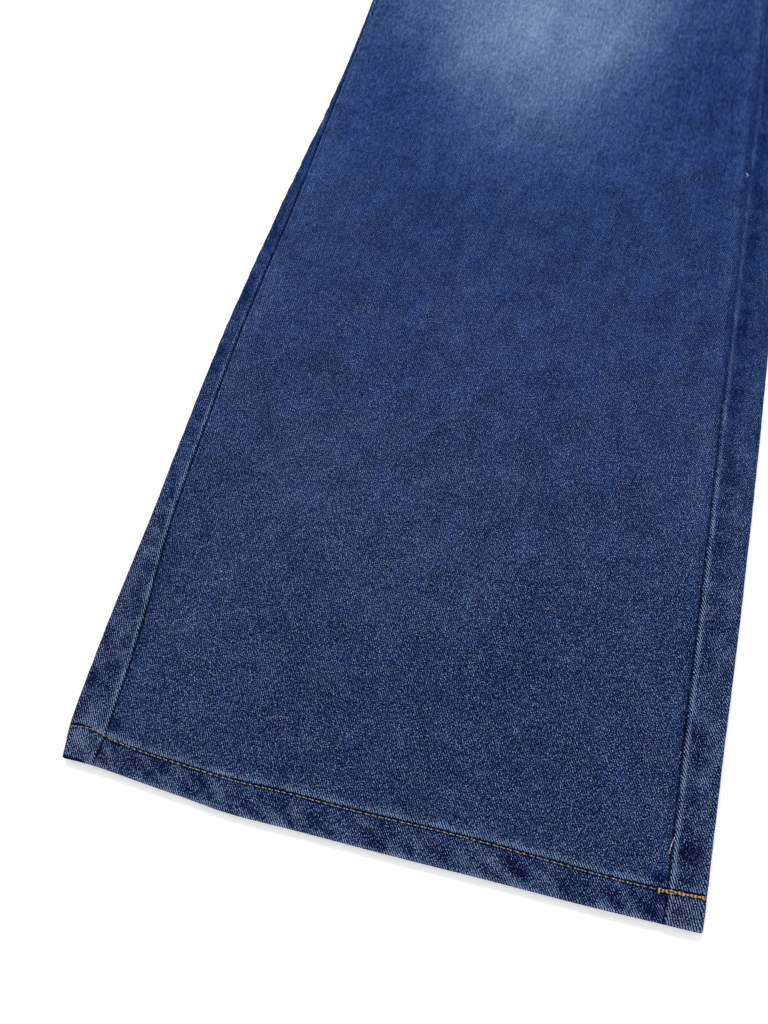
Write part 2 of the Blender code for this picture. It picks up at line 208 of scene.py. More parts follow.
RIDGE_PRESS, STRIP_PRESS, BAND_PRESS, PRESS_MOST = 1.2, 0.80, 0.8, 1.6

# line is painted shadow along the seam's groove, and the next field is the share of it that fades up the leg
SeamLook = namedtuple("SeamLook", "ridge ridge_rub line line_loss inner_ridge near_rub seed")
OUTSEAM_LOOK = SeamLook(
    ridge=Bell(0.0003, 0.0013, 0.0006),
    ridge_rub=0.50,
    line=Bell(-0.75, -0.0001, 0.00044),
    line_loss=0.10,
    inner_ridge=Bell(0.34, -0.0013, 0.0007),
    near_rub=-0.08,
    seed=0.0,
)
INSEAM_LOOK = SeamLook(
    ridge=Bell(0.0004, 0.0017, 0.0008),
    ridge_rub=0.76,
    line=Bell(-0.85, -0.0001, 0.00044),
    line_loss=0.85,
    inner_ridge=Bell(0.0, -0.0013, 0.0007),
    near_rub=-0.20,
    seed=2.7,
)

# How the hem is worked, with heights above its edge
ROPE_PITCH = 0.0135
ROPE_LEAN = 1.3
ROPE_WANDERS = Patches(0.0, 2.6, 0.0085)
ROPE_WAVE = 0.5
ROPE_LUMPS = Patches(0.0, 0.8, 0.0029, 1.1)
ROPE = Bell(0.0003, 0.0075, 0.0065)
ROPE_RUB = Bell(0.34, 0.0065, 0.0075)
BAND_DARKER = 0.17
EDGE_RUB = Bell(0.62, 0.0005, 0.0013)
EDGE_PATCHES = Patches(0.8, 0.5, 0.005, 3.0)
CORNER_STARTS = Rise(0.136, 0.003)
CORNER_RUB = 0.34
# Painted shadow under the curled lower edge of the hem's corner by the outseam
CORNER_EDGE_SHADOW = Bell(2.40, 0.0004, 0.0008)

# The same, with heights above the hem's stitches
HEM_BAND_ENDS = Rise(-0.0006, 0.0012)
STITCH_GROOVE = Bell(0.0004, 0.0, 0.0010)
PUFF = Bell(0.00012, 0.0026, 0.0022)
PUFF_PATCHES = Patches(0.7, 0.5, 0.007, 0.4)
# Wear and a painted highlight on the puffed cloth just over the stitches
OVER_STITCH_RUB_AND_HIGHLIGHT = Bell(0.46, 0.0019, 0.0010)
OVER_STITCH_PATCHES = Patches(0.8, 0.45, 0.0045, 2.0)
OVER_STITCH_PRESS = Bell(0.9, 0.0024, 0.0022)
SHADOW_OFF_THREAD, SHADOW_OFF_TACK = 0.00055, 0.0011
SHADOW_OVER, SHADOW_OVER_WIDTH = 1.35, 0.00040
SHADOW_UNDER, SHADOW_UNDER_WIDTH = 0.65, 0.00032

EdgeDrop = namedtuple("EdgeDrop", "across drop")
HEM_EDGE = [
    EdgeDrop(-0.152, -0.0002),
    EdgeDrop(-0.141, -0.0006),
    EdgeDrop(-0.129, -0.0002),
    EdgeDrop(-0.108, 0.0014),
    EdgeDrop(-0.087, 0.0029),
    EdgeDrop(-0.064, 0.0046),
    EdgeDrop(-0.030, 0.0043),
    EdgeDrop(0.010, 0.0042),
    EdgeDrop(0.060, 0.0036),
    EdgeDrop(0.100, 0.0034),
    EdgeDrop(0.133, 0.0026),
    EdgeDrop(0.152, 0.0022),
]
StitchHeight = namedtuple("StitchHeight", "across up")
HEM_STITCHES = [
    StitchHeight(-0.155, 0.0149),
    StitchHeight(-0.141, 0.0159),
    StitchHeight(-0.132, 0.0138),
    StitchHeight(-0.116, 0.0129),
    StitchHeight(-0.085, 0.0133),
    StitchHeight(-0.050, 0.0144),
    StitchHeight(-0.010, 0.0142),
    StitchHeight(0.035, 0.0148),
    StitchHeight(0.085, 0.0138),
    StitchHeight(0.125, 0.0131),
    StitchHeight(0.155, 0.0143),
]

# Small dark and light places, at their distances across the leg and up from its hem
Spot = namedtuple("Spot", "across up wide high strength")
SPOTS = [
    Spot(0.1391, 0.0506, 0.0030, 0.0036, -0.51),
    Spot(0.1381, 0.0317, 0.0038, 0.0030, -0.63),
    Spot(0.1402, 0.0190, 0.0052, 0.0022, -0.60),
    Spot(0.1288, 0.0172, 0.0024, 0.0030, -0.93),
    Spot(0.1276, 0.0060, 0.0020, 0.0065, -0.66),
    Spot(0.1330, 0.0850, 0.0040, 0.0050, -0.33),
    Spot(-0.1465, 0.0400, 0.0030, 0.0045, -0.45),
    Spot(-0.1455, 0.0640, 0.0028, 0.0060, -0.36),
    Spot(-0.1270, 0.0205, 0.0040, 0.0026, -0.45),
    Spot(-0.1000, 0.0090, 0.0040, 0.0030, -0.45),
    Spot(-0.0400, 0.0100, 0.0036, 0.0032, -0.39),
    Spot(0.0700, 0.0085, 0.0050, 0.0034, -0.42),
    Spot(0.1120, 0.0075, 0.0040, 0.0040, -0.39),
]

# The hem's row of stitches and the gold backtack that ends it, by distances across the leg
HEM_ROW_FROM = -0.1525
TACK_FROM = 0.1282
TACK_TO = 0.1480
TACK_TURN = 0.0096
TACK_SPREAD = 0.00075
TACK_POINTS = 34
TACK_WANDERS = Patches(0.0, 0.7, 0.0021)
TACK_SPREADS = Patches(0.8, 0.4, 0.0035, 1.0)
TACK_STARTS = Rise(TACK_FROM, 0.001)

# The faded patch on the thigh, in the leg's own frame
FADE_STARTS = 0.365
FADE_FULL = 0.535
FADE_LEAVES = 0.620
FADE_ENDS = 0.860
FADE_ACROSS = -0.018
FADE_NARROW = 0.057
FADE_WIDE = 0.078
FADE_WIDENS = Rise(0.42, 0.14)
FADE_TAPER = 0.75
FADE_UNDERNEATH = 0.25
FADE_STREAKS = Patches(1.0, 0.10, 0.007)
FADE_STREAK_STRETCH = 0.35
FADE_CLOUDS = Patches(0.0, 0.08, 0.023)
SIDE_FADES = [Spot(-0.112, 0.610, 0.045, 0.085, 0.35), Spot(-0.125, 0.400, 0.020, 0.160, 0.09)]
STRIP_FADE = Bell(0.05, 0.330, 0.200)
STRIP_FADE_STARTS = Rise(0.125, 0.010)
DARKER_PARTS = [Spot(-0.020, 0.060, 0.090, 0.095, 0.10), Spot(0.075, 0.130, 0.050, 0.070, 0.10)]

# Folds and creases: slight waves between them, where they start, and how their tops bleach and painted shade
# darkens the hollows beside them
WAVES = Patches(0.00025, 0.00025, 0.021)
BROAD_WAVES = Patches(0.00035, 0.00035, 0.055, 0.8)
FOLDS_START = Rise(0.0, 0.08)
CREASE_FULL = 0.0045
CREASE_WEAR_AND_SHADE = 0.26
CREASE_TOP = Bell(1.0, 0.0, 0.5)
CREASE_FOOT_SHADE = Bell(0.5, 1.3, 0.5)
CREASE_PATCHES = Patches(1.0, 0.3, 0.012, 1.9)
RIGHT_LEG_CALM = Rise(0.60, 0.08)


def mix(start, end, share):
    return start + (end - start) * share


def ease(share):
    share = np.clip(share, 0.0, 1.0)
    return share * share * (3 - 2 * share)


def bump_at(value, centre, width):
    """A smooth bell of height 1."""
    return np.exp(-(((value - centre) / width) ** 2))


def bell_at(value, bell):
    return bell.height * bump_at(value, bell.at, bell.width)


def risen(value, rise):
    return ease((value - rise.start) / rise.length)


def read(table, column, at):
    """The values of a column at heights, on a smooth curve through the table's rows."""
    keys = np.array([row[0] for row in table])
    values = np.array([getattr(row, column) for row in table])
    last = len(keys) - 1
    low, high = np.maximum(np.arange(last + 1) - 1, 0), np.minimum(np.arange(last + 1) + 1, last)
    slopes = (values[high] - values[low]) / (keys[high] - keys[low])
    at = np.asarray(at, float)
    k = np.clip(np.searchsorted(keys, at, side="right") - 1, 0, last - 1)
    span = keys[k + 1] - keys[k]
    s = (at - keys[k]) / span
    return (
        values[k] * (2 * s**3 - 3 * s**2 + 1)
        + slopes[k] * span * (s**3 - 2 * s**2 + s)
        + values[k + 1] * (3 * s**2 - 2 * s**3)
        + slopes[k + 1] * span * (s**3 - s**2)
    )


def leg_to_garment(across, up):
    """A point of the wearer's right leg, from the leg's own frame to the frame of the solids."""
    x = (across - CROTCH_INNER) * math.cos(LEG_SPLAY) + (up - INSEAM) * math.sin(LEG_SPLAY)
    y = (CROTCH_INNER - across) * math.sin(LEG_SPLAY) + (up - INSEAM) * math.cos(LEG_SPLAY)
    return x, CROTCH_Y + y - HALF_LENGTH


def hem_bow(across, up):
    """How far the cloth sags below a straight line across the leg: most at the hem."""
    drop = read(HEM_EDGE, "drop", np.clip(across, HEM_EDGE[0].across, HEM_EDGE[-1].across))
    return drop * np.maximum(1 - up / HEM_BOW_FADES, 0.0)


def uneven(x, y, scale, seed=0.0):
    """Soft unevenness between about -1 and 1, from a few waves whose lengths don't repeat."""
    a = np.sin(x / scale * 1.00 + y / scale * 0.43 + 1.3 + seed)
    b = np.sin(x / scale * -0.61 + y / scale * 0.97 + 4.1 + 1.7 * seed)
    c = np.sin(x / scale * 1.73 - y / scale * 1.21 + 2.2 + 2.3 * seed)
    return (a + b + 0.6 * c) / 2.2


def patchy(x, y, patches, seed=0.0):
    return patches.base + patches.swing * uneven(x, y, patches.scale, patches.seed + seed)


def spots_at(spots, across, up):
    """The sum of oval spots at places on a leg."""
    total = 0.0
    for spot in spots:
        place = ((across - spot.across) / spot.wide) ** 2 + ((up - spot.up) / spot.high) ** 2
        total = total + spot.strength * np.exp(-place)
    return total


def along_and_aside(fold, x, y):
    """How strong a fold is at places along it, and how many of its widths they lie aside."""
    turn = math.radians(fold.heading)
    along = (x - fold.x) * math.cos(turn) + (y - fold.y) * math.sin(turn)
    aside = (y - fold.y) * math.cos(turn) - (x - fold.x) * math.sin(turn)
    return np.maximum(1 - (2 * along / fold.length) ** 2, 0.0) ** 2, aside / fold.width


def folds_at(x, y):
    """How far folds and creases lift the top layer."""
    y = y + HALF_LENGTH
    lift = np.zeros(np.broadcast(x, y).shape)
    for fold in FOLDS + CREASES:
        strength, aside = along_and_aside(fold, x, y)
        lift += fold.height * strength * bump_at(aside, 0.0, 1.0)
    lift += patchy(x, y, WAVES) + patchy(x, y, BROAD_WAVES)
    return lift * ease((np.abs(x) - CALM_CENTRE) / CALM_CENTRE)


def crease_wear_and_shade(x, y):
    """How far the tops of folds and creases are bleached, and how far painted shade darkens the hollows
    beside them.
    """
    y = y + HALF_LENGTH
    rub = np.zeros(np.broadcast(x, y).shape)
    for fold in FOLDS + CREASES:
        strength, aside = along_and_aside(fold, x, y)
        height = math.copysign(math.sqrt(abs(fold.height) / CREASE_FULL), fold.height)
        # Bleached tops, and painted shade in the hollows at their feet
        rub += height * strength * (bell_at(aside, CREASE_TOP) - bell_at(np.abs(aside), CREASE_FOOT_SHADE))
    calm = ease((np.abs(x) - CALM_CENTRE) / CALM_CENTRE) * np.where(x > 0, 1.0, risen(y, RIGHT_LEG_CALM))
    return CREASE_WEAR_AND_SHADE * rub * calm * patchy(x, y, CREASE_PATCHES)


def seam_work(off, up, look):
    """(lift, rub, press) beside a seam, by the distance from its line towards the fold."""
    strip = risen(off, STRIP_STARTS)
    ridge = bump_at(off, look.ridge.at, look.ridge.width) * strip
    pucker = uneven(up, up * 0.3, PUCKER_PITCH / (2 * math.pi), look.seed)
    near = bell_at(off, PUCKERS) * risen(off, PUCKERS_START)
    milder = 1 - RELIEF_LOSS * risen(up, RELIEF_FADES)
    lift = look.ridge.height * ridge - milder * bell_at(off, SEAM_DIP)
    lift += ALLOWANCE_HEIGHT * strip * (1 - risen(off, ALLOWANCE_ENDS))
    lift += PUCKER_HEIGHT * pucker * (near + 0.3 * strip)
    rub = look.ridge_rub * ridge * patchy(up, up * 0.7, RIDGE_PATCHES, look.seed)
    rub *= 1 - RIDGE_LOSS * risen(up, RIDGE_FADES)
    # Painted shadow along the seam's groove
    rub += (1 - look.line_loss * risen(up, SEAM_SHADOW_FADES)) * bell_at(off, look.line)
    rub += bell_at(off, look.inner_ridge) * risen(up, INNER_RIDGE_STARTS) * (0.8 + 0.6 * pucker)
    rub += (PUCKER_RUB * pucker * milder + look.near_rub) * near
    rub += strip * patchy(up, off * 3, STRIP_PATCHES, look.seed)
    rub += bell_at(off, RUB_BESIDE) * risen(up, RUB_BESIDE_STARTS) * (1 + 0.5 * pucker)
    # Painted shade in the hollow beside the seam
    rub -= bell_at(off, HOLLOW_SHADE_BESIDE)
    press = (1 - risen(up, PRESS_FADES)) * (RIDGE_PRESS * ridge + STRIP_PRESS * strip)
    return lift, rub, press


def hem_work(across, up, off_fold, on_top):
    """(lift, rub, press) from the turned hem's roping, its stitches and the wear of its edge, with painted
    shadow beside the stitches and under the outer corner's curled edge, and a painted highlight just over
    the stitches.
    """
    within = np.clip(across, HEM_STITCHES[0].across, HEM_STITCHES[-1].across)
    over_stitch = up - read(HEM_STITCHES, "up", within)
    band = 1 - risen(over_stitch, HEM_BAND_ENDS)
    lean = across + ROPE_LEAN * up
    rope = np.sin(2 * math.pi * lean / ROPE_PITCH + patchy(across, up * 1.6, ROPE_WANDERS))
    rope = ROPE_WAVE * rope + patchy(lean, up * 0.8, ROPE_LUMPS)
    lift = rope * band * bell_at(up, ROPE) - bell_at(over_stitch, STITCH_GROOVE)
    lift = off_fold * (lift + bell_at(over_stitch, PUFF) * patchy(across, up, PUFF_PATCHES))
    rub = band * (rope * bell_at(up, ROPE_RUB) - BAND_DARKER)
    # Wear and a painted highlight on the puffed cloth just over the stitches
    rub += bell_at(over_stitch, OVER_STITCH_RUB_AND_HIGHLIGHT) * patchy(across, up, OVER_STITCH_PATCHES)
    rub += bell_at(up, EDGE_RUB) * patchy(across, up, EDGE_PATCHES)
    beside = mix(SHADOW_OFF_THREAD, SHADOW_OFF_TACK, risen(across, TACK_STARTS) * on_top)
    rub -= SHADOW_OVER * bump_at(over_stitch, beside, SHADOW_OVER_WIDTH)
    rub -= SHADOW_UNDER * bump_at(over_stitch, -beside, SHADOW_UNDER_WIDTH)
    # Wear on the outer corner, and painted shadow under its curled edge
    rub += on_top * risen(-across, CORNER_STARTS) * (CORNER_RUB * band - bell_at(up, CORNER_EDGE_SHADOW))
    return lift, rub, BAND_PRESS * band + bell_at(over_stitch, OVER_STITCH_PRESS)


class LegRows:
    """Sections across a leg and the trunk, one for each height in ups, as arrays."""

    def __init__(self, ups, side, wall, hem_wall):
        self.ups, self.side = ups, side
        leg, trunk = np.minimum(ups, INSEAM), np.maximum(ups - INSEAM, 0.0)
        on_trunk = trunk > 0
        self.unrolled = on_trunk.astype(float)
        half, lift = read(TRUNK, "half", trunk), read(TRUNK, "side_lift", trunk)
        outer_x, outer_y = leg_to_garment(read(LEG, "outer", leg), leg)
        inner_x, inner_y = leg_to_garment(read(LEG, "inner", leg), leg)
        middle_y = CROTCH_Y - HALF_LENGTH + trunk
        self.outer_x = np.where(on_trunk, -half, outer_x)
        self.outer_y = np.where(on_trunk, middle_y + lift, outer_y)
        self.inner_x = np.where(on_trunk, 0.0, inner_x) - SEAM_GAP / 2
        self.inner_y = np.where(on_trunk, middle_y, inner_y)
        self.width = np.hypot(self.inner_x - self.outer_x, self.inner_y - self.outer_y)
        above_hem = ease((ups - HEM_DEPTH) / HEM_RAMP)
        self.wall = np.where(ups <= HEM_DEPTH + SAME, hem_wall, wall)
        self.fold_height = mix(HEM_FOLD_HEIGHT, FOLD_HEIGHT, above_hem)
        self.middle = mix(HEM_MIDDLE_HEIGHT, MIDDLE_HEIGHT, above_hem)
        self.radius = self.fold_height / 2
        self.quarter = math.pi * self.radius / 2
        self.flat = self.width - 2 * self.radius + 2 * self.quarter
        self.outseam = self.arc_length(np.maximum(read(LEG, "outseam_in", leg), 0.0))
        self.inseam = self.arc_length(np.maximum(read(LEG, "inseam_in", leg), 0.0))
        lip = np.clip(1 - ups / (self.wall / 2), 0.0, 1.0)
        self.lip = 1 - np.sqrt(1 - lip**2)

    def arc_length(self, inset):
        on_arc = self.radius * np.arccos(np.clip(1 - inset / self.radius, -1.0, 1.0))
        return np.where(inset >= self.radius, self.quarter + inset - self.radius, on_arc)

    def worked(self, across, length, from_inner):
        """(lift, rub, press): how sewing and wear raise the cloth there, how far wear bleaches it, painted
        highlight lightens it and painted shade darkens it, and how plainly they bring out its ribs."""
        up = np.broadcast_to(self.ups[None, :], length.shape)
        over, on_top = length > -self.quarter, length > 0
        off_fold = np.where(length < self.quarter, np.maximum(length, 0.0) / self.quarter, 1.0)
        lift, rub, press = hem_work(across, up, off_fold, on_top)
        rub = rub + on_top * spots_at(SPOTS, across, up)
        smooth = 1 - risen(up, INSEAM_SMOOTHS)
        for look, seam, here in (
            (OUTSEAM_LOOK, self.outseam, ~from_inner & over),
            (INSEAM_LOOK, self.inseam, (from_inner & over) * smooth),
        ):
            seam_lift, seam_wear_and_shade, seam_press = seam_work(seam - length, up, look)
            lift = lift + here * seam_lift
            rub = rub + here * seam_wear_and_shade
            press = press + here * seam_press
        return lift, rub, np.clip(press, 0.0, PRESS_MOST)

    def points(self, from_inner, length, back, inside):
        """Places on the cloth, as arrays with a row for each column of the panel.

        length is along the cloth from a fold: positive over the top, negative underneath. Also gives the
        place across the cut, and how far the cloth is rubbed, darkened by painted shade, pressed and faded
        there.
        """
        wall = self.wall if inside else 0.0 * self.wall
        unrolled = self.unrolled * from_inner
        reach = np.abs(length)
        on_arc = reach < self.quarter
        angle = np.minimum(reach, self.quarter) / self.radius
        flat_in = np.where(on_arc, reach * self.radius / self.quarter, self.radius + reach - self.quarter)
        cut_across = np.where(from_inner, self.width - flat_in, flat_in)
        leg_across = cut_across / self.width * 2 - 1
        if back:
            over = np.where(from_inner, -self.width - flat_in, flat_in)
            cut = np.where(length >= 0, over, -cut_across)
        else:
            cut = cut_across
        lift, rub, press = self.worked(leg_across * HALF_HEM, length, from_inner)
        lip = self.lip * self.wall / 2
        radius = self.radius + np.where(on_arc, lift, 0.0) - wall
        radius = np.where(on_arc, radius + (lip if inside else -lip), radius)
        curled_in = np.where(on_arc, self.radius - radius * np.cos(angle), flat_in)
        distance = mix(curled_in, flat_in, unrolled)
        across = np.where(from_inner, self.width - distance, distance)
        x = self.outer_x + (self.inner_x - self.outer_x) * across / self.width
        y = self.outer_y + (self.inner_y - self.outer_y) * across / self.width
        share = across / self.width * 2 - 1
        y = y - hem_bow(share * HALF_HEM, self.ups)
        nearest = np.where(self.unrolled > 0, across, np.minimum(across, self.width - across))
        slope = 1 - ease((nearest - self.radius) / FOLD_SLOPE)
        over_hem = risen(self.ups, FOLDS_START)
        soft = folds_at(x * -self.side, y) * over_hem
        rub = rub + crease_wear_and_shade(x * -self.side, y) * over_hem * (length > 0)
        top = mix(self.middle, self.fold_height, slope) + soft + np.where(length > 0, lift, 0.0)
        flat_z = np.where(length >= 0, top - wall, wall)
        flat_z = flat_z + np.where(length >= 0, -1.0, 1.0) * (lip if not inside else -lip)
        turn = np.where(length >= 0, 1.0, -1.0)
        spare = np.where(length >= 0, (top - lift - self.fold_height) * np.sin(angle), 0.0)
        curled_z = np.where(on_arc, self.radius + turn * radius * np.sin(angle) + spare, flat_z)
        z = mix(curled_z, flat_z, unrolled)
        z = np.maximum(z, 0.0)
        fade = self.faded(share * self.width / 2, length)
        looks = {"rub": rub, "press": press, "fade": fade}
        return np.stack([x * -self.side, y, z], axis=-1), cut * -self.side, looks

    def faded(self, across, length):
        ups = self.ups
        grow = ease((ups - FADE_STARTS) / (FADE_FULL - FADE_STARTS))
        gone = 1 - ease((ups - FADE_LEAVES) / (FADE_ENDS - FADE_LEAVES))
        width = mix(FADE_NARROW, FADE_WIDE, risen(ups, FADE_WIDENS)) * mix(FADE_TAPER, 1.0, gone)
        soft = patchy(across, ups * FADE_STREAK_STRETCH, FADE_STREAKS) + patchy(across, ups, FADE_CLOUDS)
        patch = grow * gone * np.exp(-(np.abs((across - FADE_ACROSS) / width) ** 3))
        side = spots_at(SIDE_FADES, across, ups)
        side += risen(across, STRIP_FADE_STARTS) * bell_at(ups, STRIP_FADE)
        dark = spots_at(DARKER_PARTS, across, ups)
        return np.where(length > 0, (patch + side) * soft - dark, FADE_UNDERNEATH * patch)


def between(start, end, step):
    """Evenly spaced values after the start, up to the end, no further apart than step."""
    count = max(int(math.ceil(abs(end - start) / step)), 1)
    return [mix(start, end, (n + 1) / count) for n in range(count)]


# Rows of a leg panel: its rounded lip, then stretches that are closest at the hem
LIP_ROWS = [0.0, 0.0001, 0.0003, 0.0006, 0.0012]
Stretch = namedtuple("Stretch", "start end step")
LEG_STRETCHES = [
    Stretch(0.0012, 0.0115, 0.0009),
    Stretch(0.0115, HEM_DEPTH, 0.0003),
    Stretch(HEM_DEPTH + SAME, 0.0175, 0.0003),
    Stretch(0.0175, 0.0300, 0.0010),
    Stretch(0.0300, 0.6000, 0.0035),
    Stretch(0.6000, INSEAM, 0.0050),
    Stretch(INSEAM, INSEAM + RISE, 0.0055),
]

# Columns of a leg panel: distances from a seam, then how many lie between the seams' own
SEAM_SPREAD = np.array([0.0, 0.3, 0.6, 0.9, 1.3, 1.8, 2.4, 3.1, 4.0]) * MM
FRONT_COLUMNS = 84
BACK_COLUMNS = 26
FOLD_COLUMNS = 15


def leg_heights():
    return np.array(LIP_ROWS + [up for stretch in LEG_STRETCHES for up in between(*stretch)])


def front_columns(rows, seam):
    """Lengths of the columns beside a seam, from its line to the flat middle of the front."""
    near = [seam + SEAM_LINE / 2 + step for step in SEAM_SPREAD]
    top = np.maximum(rows.quarter, near[-1])
    return near + [mix(near[-1], top, share) + 0.6 * MM * share for share in (0.34, 0.67, 1.0)]


def back_columns(rows, seam):
    """The same for the back: from the seam's line round the fold, to where it lies flat underneath."""
    start = seam - SEAM_LINE / 2
    room = start + rows.quarter
    near = [start - np.minimum(step, room * 0.55 * step / SEAM_SPREAD[-1]) for step in SEAM_SPREAD]
    arc = np.minimum(rows.quarter, near[-1] - room * 0.04)
    strip = [mix(near[-1], arc, share) for share in (0.2, 0.4, 0.6, 0.8, 1.0)]
    return near + strip + [mix(arc, -rows.quarter, share) for share in np.linspace(0, 1, FOLD_COLUMNS)[1:]]


def stations(rows, seam_columns, count, facing):
    """(from_inner, length) for every column and row of a panel, from the outseam to the inseam. facing is
    1 on top and -1 underneath."""
    outer, inner = seam_columns(rows, rows.outseam), seam_columns(rows, rows.inseam)
    start, end = np.abs(outer[-1]), rows.flat - np.abs(inner[-1])
    made = [(False, length) for length in outer]
    for n in range(1, count):
        length = mix(start, end, n / count)
        outer_half = length < rows.flat / 2
        made.append((~outer_half, facing * np.where(outer_half, length, rows.flat - length)))
    made += [(True, length) for length in inner[::-1]]
    from_inner = np.array([np.broadcast_to(flag, rows.ups.shape) for flag, _ in made])
    return from_inner, np.array([length for _, length in made])


def cloth_object(name, outer, inner, cut, looks):
    """A closed shell from a grid that is extruded once. The arrays hold a value for each of its points."""
    columns, rows = outer.shape[0] - 1, outer.shape[1] - 1
    bm = bmesh.new()
    bmesh.ops.create_grid(bm, x_segments=columns, y_segments=rows, size=0.5)
    made = bmesh.ops.extrude_face_region(bm, geom=bm.faces[:])["geom"]
    fresh = {item for item in made if isinstance(item, bmesh.types.BMVert)}
    bm.verts.index_update()
    flat = np.array([vert.co[:2] for vert in bm.verts])
    within = np.array([vert in fresh for vert in bm.verts])
    column = np.rint((flat[:, 0] + 0.5) * columns).astype(int)
    row = np.rint((flat[:, 1] + 0.5) * rows).astype(int)
    bmesh.ops.recalc_face_normals(bm, faces=bm.faces[:])
    mesh = bpy.data.meshes.new(name)
    bm.to_mesh(mesh)
    bm.free()
    co = np.where(within[:, None], inner[column, row], outer[column, row])
    mesh.vertices.foreach_set("co", co.astype(np.float32).ravel())
    mesh.update()
    mesh.calc_loop_triangles()
    corners = np.empty(len(mesh.loop_triangles) * 3, np.int32)
    mesh.loop_triangles.foreach_get("vertices", corners)
    corner_points = co[corners.reshape(-1, 3)]
    if np.linalg.det(corner_points).sum() < 0:
        mesh.flip_normals()
    for label, values in looks.items():
        layer = mesh.attributes.new(label, "FLOAT", "POINT")
        layer.data.foreach_set("value", values[column, row].astype(np.float32))
    layer = mesh.attributes.new("reverse", "FLOAT", "POINT")
    layer.data.foreach_set("value", within.astype(np.float32))
    loops = np.empty(len(mesh.loops), np.int32)
    mesh.loops.foreach_get("vertex_index", loops)
    uv = mesh.uv_layers.new(name="cut")
    uv.data.foreach_set("uv", cut[column, row][loops].astype(np.float32).ravel())
    mesh.shade_smooth()
    mesh.set_sharp_from_angle(angle=math.radians(50))
    obj = bpy.data.objects.new(name, mesh)
    bpy.context.scene.collection.objects.link(obj)
    return obj


def dress(obj, material, slot, *nodes):
    """Gives a new piece its material, and lets it stand for CAD nodes."""
    obj.data.materials.clear()
    obj.data.materials.append(material)
    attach(obj, "root")
    if nodes:
        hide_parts(*nodes)


def leg_panel(name, side, back, cloth):
    rows = LegRows(leg_heights(), side, cloth.wall, cloth.hem_wall)
    columns = (back_columns, BACK_COLUMNS, -1) if back else (front_columns, FRONT_COLUMNS, 1)
    from_inner, length = stations(rows, *columns)
    outer, cut_across, looks = rows.points(from_inner, length, back, False)
    inner = rows.points(from_inner, length, back, True)[0]
    cut_up = np.broadcast_to(rows.ups, cut_across.shape)
    cut = np.stack([cut_across, cut_up], axis=-1)
    obj = cloth_object(f"{name}_cloth", outer, inner, cut, looks)
    dress(obj, bpy.data.materials["blue_twill"], "denim", name)


# How the bodice is divided and worn, and the same for the button band
ROLL_TURNS = np.linspace(math.pi / 2, 0.0, 6)[1:]
BODICE_ROW = 0.011
NECK_TURN = math.pi / 36
BODICE_COLUMN = 0.028
LAST_COLUMN = 0.985
EDGE_TOP_RUB = Bell(0.45, 0.0, 0.002)
EDGE_HEM_RUB = Bell(0.22, 0.009, 0.002)
BODICE_CLOUDS = Patches(0.0, 0.10, 0.060)
BAND_COLUMNS, BAND_ROWS = 16, 180
BAND_EDGE_DROP, BAND_EDGE = 0.00035, Rise(0.86, 0.14)
BAND_WAVES = Patches(0.0, 0.00012, 0.009)
BAND_RUB, BAND_RUB_STARTS = 0.42, Rise(0.84, 0.16)
BAND_PATCHES = Patches(0.8, 0.4, 0.006)
BAND_PLAIN_PRESS = 0.6


def bodice_half(share):
    return np.where(share < UNDERARM, read(SIDE_SEAM, "half", share), read(ARMHOLE, "half", share))


def bodice_top(x, neck_depth):
    """Height of the shoulder seam or of the neck's edge over the waist."""
    along = (np.abs(x) - NECK_HALF) / (SHOULDER_HALF - NECK_HALF)
    shoulder = mix(NECK_POINT_RISE, BODICE_SIDE_RISE + WAIST_SIDE_LIFT, along)
    neck = NECK_POINT_RISE - neck_depth * np.sqrt(np.maximum(1 - (x / NECK_HALF) ** 2, 0.0))
    return np.where(np.abs(x) >= NECK_HALF - SAME, shoulder, neck)


def bodice_shares():
    radius_share = FOLD_HEIGHT / 2 / BODICE_SIDE_RISE
    roll = [1 - radius_share * (1 - math.cos(turn)) for turn in ROLL_TURNS]
    side = between(0.0, UNDERARM - 2 * SAME, BODICE_ROW)
    armhole = between(UNDERARM + 2 * SAME, 1 - radius_share, BODICE_ROW)
    return np.array([0.0] + side + [UNDERARM + 2 * SAME] + armhole + roll)


def bodice_columns():
    neck = [math.sin(a) * NECK_HALF / SHOULDER_HALF for a in between(0.0, math.pi / 2, NECK_TURN)]
    return [0.0] + neck + between(neck[-1], LAST_COLUMN, BODICE_COLUMN) + [1.0]


